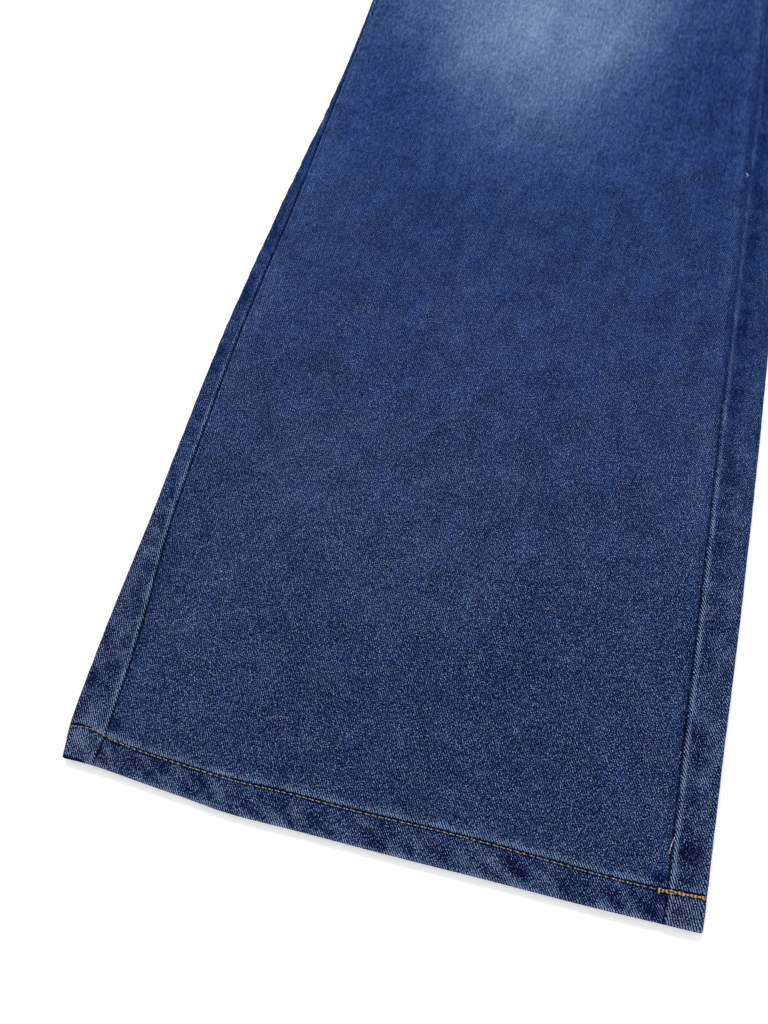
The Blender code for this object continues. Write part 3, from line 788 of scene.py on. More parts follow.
def bodice_points(share, column, roll, side, neck_depth, front, inside, wall_size):
    """Places on the bodice for arrays of shares. roll is NaN before the side's rolled edge."""
    radius = FOLD_HEIGHT / 2
    wall = wall_size if inside else 0.0
    half = bodice_half(share)
    rolled = ~np.isnan(roll)
    turn_side = np.where(rolled, roll, math.pi / 2)
    x = np.where(rolled, half - radius * (1 - np.cos(turn_side)), column * (half - radius))
    y = mix(WAIST_SIDE_LIFT * column, bodice_top(column * SHOULDER_HALF, neck_depth), share)
    has_side_seam = share < UNDERARM
    at_side = has_side_seam & rolled
    below = np.clip((1 - share) * BODICE_SIDE_RISE / radius, 0.0, 1.0)
    at_shoulder = (below < 1 - SAME) & (column * SHOULDER_HALF >= NECK_HALF - SAME)
    rise = np.where(has_side_seam, 1 - ease((half - x) / FOLD_SLOPE), 0.0)
    place_y = WAIST_Y + SEAM_GAP + y - HALF_LENGTH
    height = mix(MIDDLE_HEIGHT, FOLD_HEIGHT, rise) + folds_at(x * side, place_y)
    turn = np.minimum(
        np.where(at_side, turn_side, math.pi / 2), np.where(at_shoulder, np.arccos(1 - below), math.pi / 2)
    )
    any_roll = at_side | at_shoulder
    shift = wall * np.cos(turn)
    x = x - np.where(at_side, shift, 0.0)
    place_y = place_y - np.where(at_shoulder, shift, 0.0)
    level = (radius - wall) * np.sin(turn) + SEAM_GAP / 2 * np.cos(turn)
    if front:
        z = np.where(any_roll, radius + level + (height - FOLD_HEIGHT) * np.sin(turn), height - wall)
    else:
        z = np.where(any_roll, radius - level, wall)
    return np.stack([x * side, place_y, z], axis=-1)


def edge_wear(share, column, neck_depth):
    """How far the bodice is rubbed near its open edges, where a narrow hem is turned in."""
    half = bodice_half(share)
    from_armhole = np.where(share > UNDERARM, (1 - column) * half, 1.0)
    x = column * SHOULDER_HALF
    top = bodice_top(x, neck_depth)
    from_neck = np.where(x < NECK_HALF - SAME, (1 - share) * top, 1.0)
    from_edge = np.minimum(from_armhole, from_neck)
    return bell_at(from_edge, EDGE_TOP_RUB) + bell_at(from_edge, EDGE_HEM_RUB)


def bodice_panel(name, sides, neck_depth, front, cloth):
    half = [(column, np.nan) for column in bodice_columns()] + [(1.0, turn) for turn in ROLL_TURNS]
    line = [(sides[0], column, turn) for column, turn in half]
    if len(sides) > 1:
        line = [(-1, column, turn) for column, turn in reversed(half[1:])]
        line += [(1, column, turn) for column, turn in half]
    share = bodice_shares()[None, :]
    side, column, turn = (np.array(values)[:, None] for values in zip(*line))
    shape = (len(line), share.shape[1])
    full = [np.broadcast_to(values, shape) for values in (share, column, turn, side)]
    outer = bodice_points(*full, neck_depth, front, False, cloth.wall)
    inner = bodice_points(*full, neck_depth, front, True, cloth.wall)
    if len(sides) == 1:
        outer[0, :, 0] = inner[0, :, 0] = sides[0] * SEAM_GAP / 2
    facing = 1.0 if front else -1.0
    cut_up = outer[..., 1] - WAIST_Y + HALF_LENGTH + INSEAM + RISE
    cut = np.stack([outer[..., 0] * facing, cut_up], axis=-1)
    x, y = outer[..., 0], outer[..., 1]
    rub = edge_wear(full[0], full[1], neck_depth) + (crease_wear_and_shade(x, y) if front else 0.0)
    fade = np.maximum(patchy(x, y, BODICE_CLOUDS), 0.0)
    looks = {"rub": rub, "press": np.clip(rub * 2, 0.0, 1.0), "fade": fade}
    obj = cloth_object(f"{name}_cloth", outer, inner, cut, looks)
    dress(obj, bpy.data.materials["blue_twill"], "denim", name)


def band_cloth(cloth):
    """The button band: a flat strip with soft edges."""
    u = np.linspace(-1, 1, BAND_COLUMNS + 1)[:, None]
    v = np.linspace(0, 1, BAND_ROWS + 1)[None, :]
    x = np.broadcast_to(u * BAND_HALF, (BAND_COLUMNS + 1, BAND_ROWS + 1))
    y = np.broadcast_to(mix(BAND_START, BAND_END, v) - HALF_LENGTH, x.shape)
    under = MIDDLE_HEIGHT + SEAM_GAP
    soft = BAND_EDGE_DROP * risen(np.abs(u), BAND_EDGE)
    top = under + cloth.wall - soft + patchy(x, y, BAND_WAVES)
    outer = np.stack([x, y, top], axis=-1)
    inner = np.stack([x, y, np.full_like(top, under)], axis=-1)
    cut = np.stack([x, y + INSEAM + RISE], axis=-1)
    rub = BAND_RUB * risen(np.abs(u), BAND_RUB_STARTS) * patchy(x, y, BAND_PATCHES)
    looks = {"rub": rub, "press": np.full_like(rub, BAND_PLAIN_PRESS), "fade": np.zeros_like(rub)}
    obj = cloth_object("button_band_cloth", outer, inner, cut, looks)
    dress(obj, bpy.data.materials["blue_twill"], "denim", "button_band")


def node(tree, kind, inputs=(), **settings):
    """A node whose inputs take sockets or values, by position or by name."""
    made = tree.nodes.new(kind)
    for key, value in settings.items():
        setattr(made, key, value)
    pairs = inputs.items() if isinstance(inputs, dict) else enumerate(inputs)
    for key, value in pairs:
        if isinstance(value, bpy.types.NodeSocket):
            tree.links.new(value, made.inputs[key])
        else:
            made.inputs[key].default_value = value
    return made


# Noises on the cut: waves in each millimetre across and along it, then their detail and roughness
Noise = namedtuple("Noise", "across along detail roughness")
NOISES = {
    "wander": Noise(0.55, 0.55, 1.0, 0.5),
    "grain": Noise(2.1, 1.7, 0.0, 0.5),
    "slub": Noise(0.42, 0.30, 2.0, 0.6),
    "warp": Noise(0.80, 0.030, 2.0, 0.65),
    "streak": Noise(0.16, 0.012, 1.0, 0.5),
    "mottle": Noise(0.085, 0.060, 3.0, 0.6),
    "cloud": Noise(0.017, 0.011, 2.0, 0.5),
    "patch": Noise(0.13, 0.085, 2.0, 0.6),
    "fleck": Noise(0.62, 0.26, 2.0, 0.6),
    "hue": Noise(0.055, 0.040, 2.0, 0.6),
}

# How much each pattern adds to the cloth's tone or relief
FINE = {"ribs": 0.21, "yarn": 0.13, "grain": 0.80, "speck": 0.36}
PRESSED = {"ribs": 0.32, "grain": 0.10, "patch": 0.30}
BROAD = {"slub": 0.070, "mottle": 0.085, "cloud": 0.055}
ALONG, ALONG_BASE = {"fleck": 0.20, "warp": 0.07, "streak": 0.035}, 0.044
STREAKS = {"warp": 0.10, "fleck": 0.14}
BLUER = {"height": 0.85, "hue": 0.70}
RELIEF = {"ribs": 0.5, "yarn": 0.3, "grain": 0.5}
RIB_WANDER = 0.20
SPECK_SHARPNESS = 16.0
FAINT_LOSS = 0.74
# How the mesh's wear and painted shade show on the ribs and in the tone
RUB_ON_RIBS, RUB_BETWEEN, RUB_TONE = 0.75, 0.9, 0.55
FADE_TONE = 0.465
REVERSE_TONE, REVERSE_FINE = 0.5, 0.8
RELIEF_STRENGTH, RELIEF_DEPTH = 0.3, 0.0001

# Heights over the hem, in millimetres, between which the cloth's look changes
BLUER_UP = (40.0, 430.0)
SOFTER_UP = (90.0, 520.0)
CRISPER_UP = (600.0, 850.0)

# Cloth colours from the dark between the yarns to bleached yarn, at the hem and on the thigh
BASE_TONE = 0.225
INDIGO_PLACES = (0.000, 0.143, 0.286, 0.429, 0.571, 0.786, 1.000)
INDIGO_LOW = ("000428", "021740", "182b54", "2f426d", "47587e", "67789c", "8798bb")
INDIGO_HIGH = ("000f40", "062259", "1e386b", "364f82", "4b6693", "6985ab", "8aa4c3")
REVERSE_PLACES = (0.0, 0.5, 1.0)
REVERSE = ("4a5a7a", "8794ad", "c5ccd8")
BRASS_PLACES = (0.30, 0.55, 0.80)
BRASS = ("6a4f34", "a98457", "cfae7c")
BRASS_ROUGHNESS = (0.5, 0.28)
THREAD_PLACES = (0.30, 0.50, 0.70)

DENIM_FINISH = {"Roughness": 0.92, "Specular IOR Level": 0.06, "Sheen Weight": 0.015, "Sheen Roughness": 0.5}
THREAD_FINISH = {"Roughness": 0.6, "Sheen Weight": 0.1}
METAL_FINISH = {"Metallic": 1.0}


def calc(tree, operation, *values):
    return node(tree, "ShaderNodeMath", values, operation=operation).outputs[0]


def noise_on(tree, coords, noise):
    """Noise from -1 to 1 on cut coordinates in millimetres."""
    waves = (noise.across, noise.along, 1.0)
    scaled = node(tree, "ShaderNodeVectorMath", (coords, waves), operation="MULTIPLY").outputs[0]
    inputs = {"Vector": scaled, "Scale": 1.0, "Detail": noise.detail, "Roughness": noise.roughness}
    made = node(tree, "ShaderNodeTexNoise", inputs, noise_dimensions="2D")
    return calc(tree, "MULTIPLY_ADD", made.outputs["Fac"], 2.0, -1.0)


def attribute(tree, label):
    return node(tree, "ShaderNodeAttribute", attribute_name=label).outputs["Fac"]


def weighted(tree, sockets, weights, start=0.0):
    """start plus each named socket times its weight."""
    total = start
    for name, weight in weights.items():
        total = calc(tree, "MULTIPLY_ADD", sockets[name], weight, total)
    return total


def ramp(tree, value, places, colours):
    made = node(tree, "ShaderNodeValToRGB", (value,))
    while len(made.color_ramp.elements) < len(colours):
        made.color_ramp.elements.new(0.5)
    for element, place, colour in zip(made.color_ramp.elements, places, colours):
        element.position = place
        element.color = (*(shade(colour) if isinstance(colour, str) else colour), 1.0)
    return made.outputs["Color"]


def blend(tree, share, low, high):
    return node(tree, "ShaderNodeMix", {"Factor": share, 6: low, 7: high}, data_type="RGBA").outputs[2]


def spread_over(tree, value, span, to=(0.0, 1.0), kind="LINEAR"):
    return node(tree, "ShaderNodeMapRange", (value, *span, *to), interpolation_type=kind).outputs[0]


def shade(hexadecimal):
    """Linear colour from an sRGB hexadecimal string."""
    parts = [int(hexadecimal[n : n + 2], 16) / 255 for n in (0, 2, 4)]
    return tuple(c / 12.92 if c <= 0.04045 else ((c + 0.055) / 1.055) ** 2.4 for c in parts)


def new_material(name, finish):
    """(tree, shader) of a new material with its constants set."""
    made = bpy.data.materials.new(name)
    made.use_nodes = True
    shader = made.node_tree.nodes["Principled BSDF"]
    for socket, value in finish.items():
        shader.inputs[socket].default_value = value
    return made.node_tree, shader


def denim_material(cloth):
    """Washed indigo twill: uneven yarns in diagonal ribs, a faded thigh and rubbed edges, with painted shade
    by seams, stitches and creases and a painted highlight over the hem's stitches.
    """
    tree, shader = new_material("blue_twill", DENIM_FINISH)
    uv = node(tree, "ShaderNodeUVMap", uv_map="cut").outputs[0]
    mm = node(tree, "ShaderNodeVectorMath", {0: uv, "Scale": 1000.0}, operation="SCALE").outputs[0]
    look = {name: noise_on(tree, mm, noise) for name, noise in NOISES.items()}
    lean = math.radians(cloth.twill_lean_degrees)
    rib = (math.cos(lean) / cloth.twill_pitch_mm, math.sin(lean) / cloth.twill_pitch_mm, 0.0)
    phase = node(tree, "ShaderNodeVectorMath", (mm, rib), operation="DOT_PRODUCT").outputs["Value"]
    phase = calc(tree, "MULTIPLY_ADD", look["wander"], RIB_WANDER, phase)
    look["ribs"] = calc(tree, "SINE", calc(tree, "MULTIPLY", phase, 2 * math.pi))
    yarns = (3 * rib[0], 3 * rib[1], 1.0)
    crossing = node(tree, "ShaderNodeVectorMath", (mm, yarns), operation="MULTIPLY").outputs[0]
    crossing = node(tree, "ShaderNodeVectorMath", (crossing,), operation="FLOOR").outputs[0]
    random = node(tree, "ShaderNodeTexWhiteNoise", {"Vector": crossing}, noise_dimensions="2D").outputs[0]
    look["yarn"] = calc(tree, "MULTIPLY_ADD", random, 2.0, -1.0)
    look["speck"] = calc(tree, "POWER", random, SPECK_SHARPNESS)
    up = node(tree, "ShaderNodeSeparateXYZ", (mm,)).outputs["Y"]
    look["height"] = spread_over(tree, up, BLUER_UP)
    softer = spread_over(tree, up, SOFTER_UP, kind="SMOOTHSTEP")
    faint = calc(tree, "SUBTRACT", softer, spread_over(tree, up, CRISPER_UP, kind="SMOOTHSTEP"))
    lively = calc(tree, "MULTIPLY_ADD", faint, -FAINT_LOSS, 1.0)
    fine = calc(tree, "MULTIPLY", weighted(tree, look, FINE), lively)
    pressed = calc(tree, "MULTIPLY", attribute(tree, "press"), weighted(tree, look, PRESSED))
    pressed = calc(tree, "MULTIPLY", pressed, lively)
    along = calc(tree, "MULTIPLY", weighted(tree, look, ALONG, ALONG_BASE), softer)
    ribbed = calc(tree, "MULTIPLY_ADD", look["ribs"], RUB_ON_RIBS, RUB_BETWEEN)
    # Wear and painted shade from the mesh, stronger on the ribs
    worn_and_shaded = calc(tree, "MULTIPLY", calc(tree, "MULTIPLY", attribute(tree, "rub"), ribbed), RUB_TONE)
    faded = calc(tree, "MULTIPLY", attribute(tree, "fade"), weighted(tree, look, STREAKS, 1.0))
    faded = calc(tree, "MULTIPLY", faded, FADE_TONE)
    tone = BASE_TONE
    for part in (fine, pressed, weighted(tree, look, BROAD), along, worn_and_shaded, faded):
        tone = calc(tree, "ADD", part, tone)
    low = ramp(tree, tone, INDIGO_PLACES, INDIGO_LOW)
    high = ramp(tree, tone, INDIGO_PLACES, INDIGO_HIGH)
    face = blend(tree, weighted(tree, look, BLUER), low, high)
    back_tone = calc(tree, "MULTIPLY_ADD", fine, REVERSE_FINE, REVERSE_TONE)
    back = ramp(tree, back_tone, REVERSE_PLACES, REVERSE)
    tree.links.new(blend(tree, attribute(tree, "reverse"), face, back), shader.inputs["Base Color"])
    relief = weighted(tree, look, RELIEF)
    inputs = {"Strength": RELIEF_STRENGTH, "Distance": RELIEF_DEPTH, "Height": relief}
    tree.links.new(node(tree, "ShaderNodeBump", inputs).outputs[0], shader.inputs["Normal"])


def thread_material(name, colours, pitch_mm):
    """Twisted thread, from painted shade in the turns between its plies to painted highlights on their tops.
    """
    tree, shader = new_material(name, THREAD_FINISH)
    coords = node(tree, "ShaderNodeTexCoord").outputs["Object"]
    turns = {"Vector": coords, "Scale": 1000.0 / pitch_mm / 6.0, "Distortion": 2.0}
    fuzz = {"Vector": coords, "Scale": 1800.0, "Detail": 2.0}
    look = {
        "turns": node(tree, "ShaderNodeTexWave", turns).outputs["Fac"],
        "fuzz": node(tree, "ShaderNodeTexNoise", fuzz).outputs["Fac"],
    }
    tone = weighted(tree, look, {"turns": 0.5, "fuzz": 0.5})
    tree.links.new(ramp(tree, tone, THREAD_PLACES, colours), shader.inputs["Base Color"])


def metal_material():
    """Dull antique brass with rubbed high spots."""
    tree, shader = new_material("worn_brass", METAL_FINISH)
    coords = node(tree, "ShaderNodeTexCoord").outputs["Object"]
    inputs = {"Vector": coords, "Scale": 420.0, "Detail": 4.0}
    patina = node(tree, "ShaderNodeTexNoise", inputs).outputs["Fac"]
    tree.links.new(ramp(tree, patina, BRASS_PLACES, BRASS), shader.inputs["Base Color"])
    rough = spread_over(tree, patina, (BRASS_PLACES[0], BRASS_PLACES[-1]), BRASS_ROUGHNESS)
    tree.links.new(rough, shader.inputs["Roughness"])


class Surface:
    """The top of the finished cloth, to lay stitches on."""

    def __init__(self, names):
        graph = bpy.context.evaluated_depsgraph_get()
        self.trees = [BVHTree.FromObject(bpy.data.objects[name], graph) for name in names]

    def drop(self, x, y):
        """(place, normal) of the highest cloth at x, y, or None."""
        hits = [tree.ray_cast(Vector((x, y, 0.1)), Vector((0, 0, -1))) for tree in self.trees]
        hits = [hit for hit in hits if hit[0] is not None]
        if not hits:
            return None
        best = max(hits, key=lambda hit: hit[0].z)
        return best[0], best[1]


def add_stitch(bm, start, end, normal, thickness):
    """A short length of thread, thickest in its middle, sunk a little into the cloth."""
    along = end - start
    size = along.length
    x_axis = along.normalized()
    y_axis = normal.cross(x_axis).normalized()
    z_axis = x_axis.cross(y_axis)
    turn = Matrix((x_axis, y_axis, z_axis)).transposed().to_4x4()
    stretch = Matrix.Diagonal((size, thickness, thickness, 1.0))
    place = Matrix.Translation((start + end) / 2) @ turn @ stretch
    bmesh.ops.create_uvsphere(bm, u_segments=8, v_segments=6, radius=0.5, matrix=place)


# The share of its pitch that a stitch shows and how it varies, how far its ends lie aside, and how
# far its middle lies over the cloth in thicknesses
STITCH_SHARE = 0.89
STITCH_VARIES = 0.07
STITCH_SLANT = 0.00012
STITCH_RISE = 0.25


def stitch_row(bm, surface, route, pitch, thickness):
    """Adds stitches along a route of (x, y) points. Each lies a little askew and dives in at both ends."""
    row = bmesh.new()
    points = [Vector(point) for point in route]
    lengths = [0.0]
    for first, second in zip(points, points[1:]):
        lengths.append(lengths[-1] + (second - first).length)

    def at(distance):
        k = min(max(sum(value <= distance for value in lengths) - 1, 0), len(points) - 2)
        span = lengths[k + 1] - lengths[k]
        return points[k].lerp(points[k + 1], (distance - lengths[k]) / span)

    count = int(lengths[-1] / pitch)
    for n in range(count):
        share = STITCH_SHARE + STITCH_VARIES * math.sin(n * 2.4)
        begin, finish = at(n * pitch), at((n + share) * pitch)
        aside = (finish - begin).normalized().orthogonal() * STITCH_SLANT
        first = surface.drop(*(begin + aside))
        second = surface.drop(*(finish - aside))
        if first is None or second is None:
            continue
        normal = (first[1] + second[1]).normalized()
        lift = normal * thickness * STITCH_RISE
        add_stitch(row, first[0] + lift, second[0] + lift, normal, thickness)
    gather(bm, row)


def gather(bm, row):
    """Moves the shapes of one bmesh into another."""
    carrier = bpy.data.meshes.new("carrier")
    row.to_mesh(carrier)
    row.free()
    bm.from_mesh(carrier)
    bpy.data.meshes.remove(carrier)


def mesh_object(name, bm):
    mesh = bpy.data.meshes.new(name)
    bm.to_mesh(mesh)
    bm.free()
    mesh.shade_smooth()
    obj = bpy.data.objects.new(name, mesh)
    bpy.context.scene.collection.objects.link(obj)
    return obj


def leg_place(across, up, side):
    """(x, y) of a place on a leg's front."""
    x, y = leg_to_garment(across, up)
    return x * -side, y - float(hem_bow(across, up))


def hem_route(side, across_from, across_to, count=60):
    """Points of the hem's stitches over a leg's front, from one place across to another."""
    stops = [mix(across_from, across_to, n / count) for n in range(count + 1)]
    return [leg_place(across, hem_stitch_up(across), side) for across in stops]


def hem_stitch_up(across):
    """Height of the hem's stitches over its edge."""
    return float(read(HEM_STITCHES, "up", across))


class JumpsuitClothSettings(bpy.types.PropertyGroup):
    wall: bpy.props.FloatProperty(
        name="Cloth thickness", description="One layer of denim", default=0.0012, unit="LENGTH"
    )
    hem_wall: bpy.props.FloatProperty(
        name="Hem thickness", description="The leg's turned hem", default=0.0024, unit="LENGTH"
    )
    twill_pitch_mm: bpy.props.FloatProperty(
        name="Twill pitch", description="Millimetres from rib to rib, square to the ribs", default=1.02
    )
    twill_lean_degrees: bpy.props.FloatProperty(
        name="Twill lean", description="Degrees that the ribs lean from the warp", default=31.0
    )


class JumpsuitSewingSettings(bpy.types.PropertyGroup):
    pitch: bpy.props.FloatProperty(
        name="Stitch pitch", description="From one stitch to the next", default=0.0033, unit="LENGTH"
    )
    thickness: bpy.props.FloatProperty(
        name="Thread", description="Thickness of the sewing thread", default=0.00056, unit="LENGTH"
    )
    tack_thickness: bpy.props.FloatProperty(
        name="Tack thread", description="Thickness of the doubled thread", default=0.00110, unit="LENGTH"
    )
    thread_colour: bpy.props.FloatVectorProperty(
        name="Thread colour", description="Tan topstitching", subtype="COLOR", default=shade("7b766d")
    )
    tack_colour: bpy.props.FloatVectorProperty(
        name="Tack colour", description="Gold backtack", subtype="COLOR", default=shade("ab7833")
    )


class JumpsuitStageSettings(bpy.types.PropertyGroup):
    lens: bpy.props.FloatProperty(
        name="Lens", description="Focal length in millimetres on a 36 mm frame", default=30.0
    )
    floor_colour: bpy.props.FloatVectorProperty(
        name="Floor colour", description="Plain surface", subtype="COLOR", default=(0.9, 0.9, 0.9)
    )
    floor_glow: bpy.props.FloatProperty(
        name="Floor glow", description="Light of its own that keeps the floor white", default=0.25
    )
    lamp_width: bpy.props.FloatProperty(
        name="Lamp width", description="The longer side of the lamp", default=0.9, unit="LENGTH"
    )
    lamp_power: bpy.props.FloatProperty(
        name="Lamp power", description="Watts of the large soft lamp", default=25.0
    )
    sky: bpy.props.FloatProperty(name="Sky", description="Strength of the plain white sky", default=0.8)


# The camera in the leg's own frame, with its height over the cloth
CAMERA_PLACE = (0.0328, -0.0053, 0.4133)
CAMERA_RIGHT = Vector((0.96900, 0.24062, -0.05601))
CAMERA_UP = Vector((-0.20109, 0.89991, 0.38694))
CAMERA_BACK = Vector((0.14351, -0.36368, 0.92040))
CLOTH_TOP = 0.0042
CAMERA_NEAR = 0.01
FLOOR_HALF = 6.0
FLOOR_DROP = 0.0001
LAMP_PLACE = (-0.7, 0.9, 2.3)
LAMP_AIM = Vector((-0.15, -0.5, 0.0))
LAMP_DEPTH_SHARE = 0.75
SKY_COLOUR = (1.0, 0.995, 0.965, 1.0)
WHITE = (1.0, 1.0, 1.0, 1.0)


class JUMPSUIT_OT_stage(bpy.types.Operator):
    """Camera, soft light and a plain pale floor"""

    bl_idname = "jumpsuit.stage"
    bl_label = "Stage"

    def execute(self, context):
        stage = context.scene.jumpsuit_stage
        camera_data = bpy.data.cameras.new("camera")
        camera_data.sensor_width = 36.0
        camera_data.lens = stage.lens
        camera_data.clip_start = CAMERA_NEAR
        camera = bpy.data.objects.new("camera", camera_data)
        context.scene.collection.objects.link(camera)
        context.scene.camera = camera
        right, upward, back = (turned_from_leg(axis) for axis in (CAMERA_RIGHT, CAMERA_UP, CAMERA_BACK))
        x, y = leg_to_garment(CAMERA_PLACE[0], CAMERA_PLACE[1])
        turn = Matrix((right, upward, back)).transposed().to_4x4()
        camera.matrix_world = Matrix.Translation((x, y, CAMERA_PLACE[2] + CLOTH_TOP)) @ turn

        bm = bmesh.new()
        bmesh.ops.create_grid(bm, x_segments=1, y_segments=1, size=FLOOR_HALF)
        bmesh.ops.translate(bm, vec=(0.0, 0.0, -FLOOR_DROP), verts=bm.verts[:])
        floor = mesh_object("floor", bm)
        finish = {
            "Base Color": (*stage.floor_colour, 1.0),
            "Roughness": 1.0,
            "Specular IOR Level": 0.0,
            "Emission Color": WHITE,
            "Emission Strength": stage.floor_glow,
        }
        new_material("floor", finish)
        floor.data.materials.append(bpy.data.materials["floor"])

        lamp_data = bpy.data.lights.new("lamp", "AREA")
        lamp_data.shape = "RECTANGLE"
        lamp_data.size, lamp_data.size_y = stage.lamp_width, stage.lamp_width * LAMP_DEPTH_SHARE
        lamp_data.energy = stage.lamp_power
        lamp = bpy.data.objects.new("lamp", lamp_data)
        lamp.location = LAMP_PLACE
        aim = LAMP_AIM - lamp.location
        lamp.rotation_euler = aim.to_track_quat("-Z", "Y").to_euler()
        context.scene.collection.objects.link(lamp)

        world = bpy.data.worlds.new("sky")
        world.use_nodes = True
        sky = world.node_tree.nodes["Background"]
        sky.inputs["Color"].default_value = SKY_COLOUR
        sky.inputs["Strength"].default_value = stage.sky
        context.scene.world = world
        context.scene.view_settings.view_transform = "Standard"
        return {"FINISHED"}


def turned_from_leg(axis):
    """A direction from the right leg's frame to the frame of the solids."""
    return Matrix.Rotation(-LEG_SPLAY, 3, "Z") @ axis


class JUMPSUIT_OT_materials(bpy.types.Operator):
    """Denim, threads and button metal"""

    bl_idname = "jumpsuit.materials"
    bl_label = "Materials"

    def execute(self, context):
        sewing = context.scene.jumpsuit_sewing
        denim_material(context.scene.jumpsuit_cloth)
        tan, gold = tuple(sewing.thread_colour), tuple(sewing.tack_colour)
        # Each ramp runs from painted shade between the plies, through the thread's colour, to a painted
        # highlight on their tops
        thread_material("tan_thread", ("4a4641", tan, "a8a296"), 0.8)
        thread_material("gold_thread", ("51320f", gold, "d2b078"), 0.9)
        thread_material("pale_fibre", ("b3a4ac", "d6c8ce", "ece4e8"), 0.8)
        metal_material()
        return {"FINISHED"}


class JUMPSUIT_OT_legs(bpy.types.Operator):
    """Front and back panels of both legs, up to the waist"""

    bl_idname = "jumpsuit.legs"
    bl_label = "Legs"

    def execute(self, context):
        cloth = context.scene.jumpsuit_cloth
        for side, word in ((-1, "right"), (1, "left")):
            leg_panel(f"leg_front_{word}", side, False, cloth)
            leg_panel(f"leg_back_{word}", side, True, cloth)
        return {"FINISHED"}


class JUMPSUIT_OT_bodice(bpy.types.Operator):
    """Both fronts and the back above the waist, and the button band"""

    bl_idname = "jumpsuit.bodice"
    bl_label = "Bodice"

    def execute(self, context):
        cloth = context.scene.jumpsuit_cloth
        bodice_panel("bodice_front_right", (-1,), FRONT_NECK_DEPTH, True, cloth)
        bodice_panel("bodice_front_left", (1,), FRONT_NECK_DEPTH, True, cloth)
        bodice_panel("bodice_back", (-1, 1), BACK_NECK_DEPTH, False, cloth)
        band_cloth(cloth)
        return {"FINISHED"}


class JUMPSUIT_OT_hem_stitches(bpy.types.Operator):
    """A row of tan stitches round each hem, and a gold backtack at the inseam"""

    bl_idname = "jumpsuit.hem_stitches"
    bl_label = "Hem stitches"

    def execute(self, context):
        sewing = context.scene.jumpsuit_sewing
        for side, word in ((-1, "right"), (1, "left")):
            surface = Surface([f"leg_front_{word}_cloth", f"leg_back_{word}_cloth"])
            bm = bmesh.new()
            stitch_row(bm, surface, hem_route(side, HEM_ROW_FROM, TACK_FROM), sewing.pitch, sewing.thickness)
            row = mesh_object(f"hem_stitches_{word}", bm)
            dress(row, bpy.data.materials["tan_thread"], "denim")
            bm = bmesh.new()
            tack(bm, surface, side, sewing.tack_thickness)
            made = mesh_object(f"hem_backtack_{word}", bm)
            dress(made, bpy.data.materials["gold_thread"], "denim")
        return {"FINISHED"}


# From where to where the backtack's first stitch stands, over the hem's stitches
TACK_END = (0.0009, -0.0016)


def tack(bm, surface, side, thickness):
    """Two thick threads that cross each other loosely over the inseam, to the inner fold."""
    for ply in (0, 1):
        places = []
        for n in range(TACK_POINTS + 1):
            across = mix(TACK_FROM, TACK_TO, n / TACK_POINTS)
            turn = 2 * math.pi * (across - TACK_FROM) / TACK_TURN + math.pi * ply
            turn += float(patchy(across, ply, TACK_WANDERS))
            spread = TACK_SPREAD * float(patchy(across, 0.0, TACK_SPREADS))
            hit = surface.drop(*leg_place(across, hem_stitch_up(across) + spread * math.cos(turn), side))
            if hit is not None:
                places.append(hit[0] + hit[1] * (0.45 + 0.35 * math.sin(turn)) * thickness)
        for n, (first, second) in enumerate(zip(places, places[2:])):
            aside = Vector((0.0, 0.16 * thickness * (-1) ** n, 0.0))
            add_stitch(bm, first - aside, second + aside, Vector((0, 0, 1)), thickness * 0.62)
    end = [surface.drop(*leg_place(TACK_FROM, hem_stitch_up(TACK_FROM) + rise, side)) for rise in TACK_END]
    lift = Vector((0.0, 0.0, 0.3 * thickness))
    add_stitch(bm, end[0][0] + lift, end[1][0] + lift, Vector((0, 0, 1)), thickness * 0.7)


# Thickness, then places across and up the leg in millimetres
FIBRES = [
    (0.00036, [(132.4, 35.6), (132.0, 34.2), (131.6, 32.8), (131.2, 31.2)]),
    (0.00022, [(131.2, 31.2), (131.0, 29.8), (131.0, 28.4)]),
    (0.00040, [(130.9, 423.8), (131.7, 422.9), (132.6, 422.3)]),
    (0.00034, [(132.3, 424.4), (131.8, 422.9), (131.6, 421.2)]),
    (0.00009, [(-62.0, 44.2), (-58.5, 45.6), (-55.0, 46.6), (-51.0, 47.3)]),
    (0.00008, [(-96.0, 58.0), (-93.2, 57.0), (-90.6, 57.2)]),
    (0.00008, [(-20.0, 92.0), (-18.6, 94.4), (-18.2, 97.0)]),
    (0.00008, [(60.0, 128.0), (62.6, 127.0), (64.8, 124.6)]),
]


class JUMPSUIT_OT_fibres(bpy.types.Operator):
    """A loose thread at the inseam and a few hairs of lint on the right leg"""

    bl_idname = "jumpsuit.fibres"
    bl_label = "Loose fibres"

    def execute(self, context):
        surface = Surface(["leg_front_right_cloth", "leg_back_right_cloth"])
        bm = bmesh.new()
        for thickness, route in FIBRES:
            places = [surface.drop(*leg_place(across * MM, up * MM, -1))[0] for across, up in route]
            lift = Vector((0.0, 0.0, thickness * 0.5))
            for first, second in zip(places, places[1:]):
                reach = (second - first) * 0.15
                add_stitch(bm, first - reach + lift, second + reach + lift, Vector((0, 0, 1)), thickness)
        dress(mesh_object("loose_fibres", bm), bpy.data.materials["pale_fibre"], "denim")
        return {"FINISHED"}


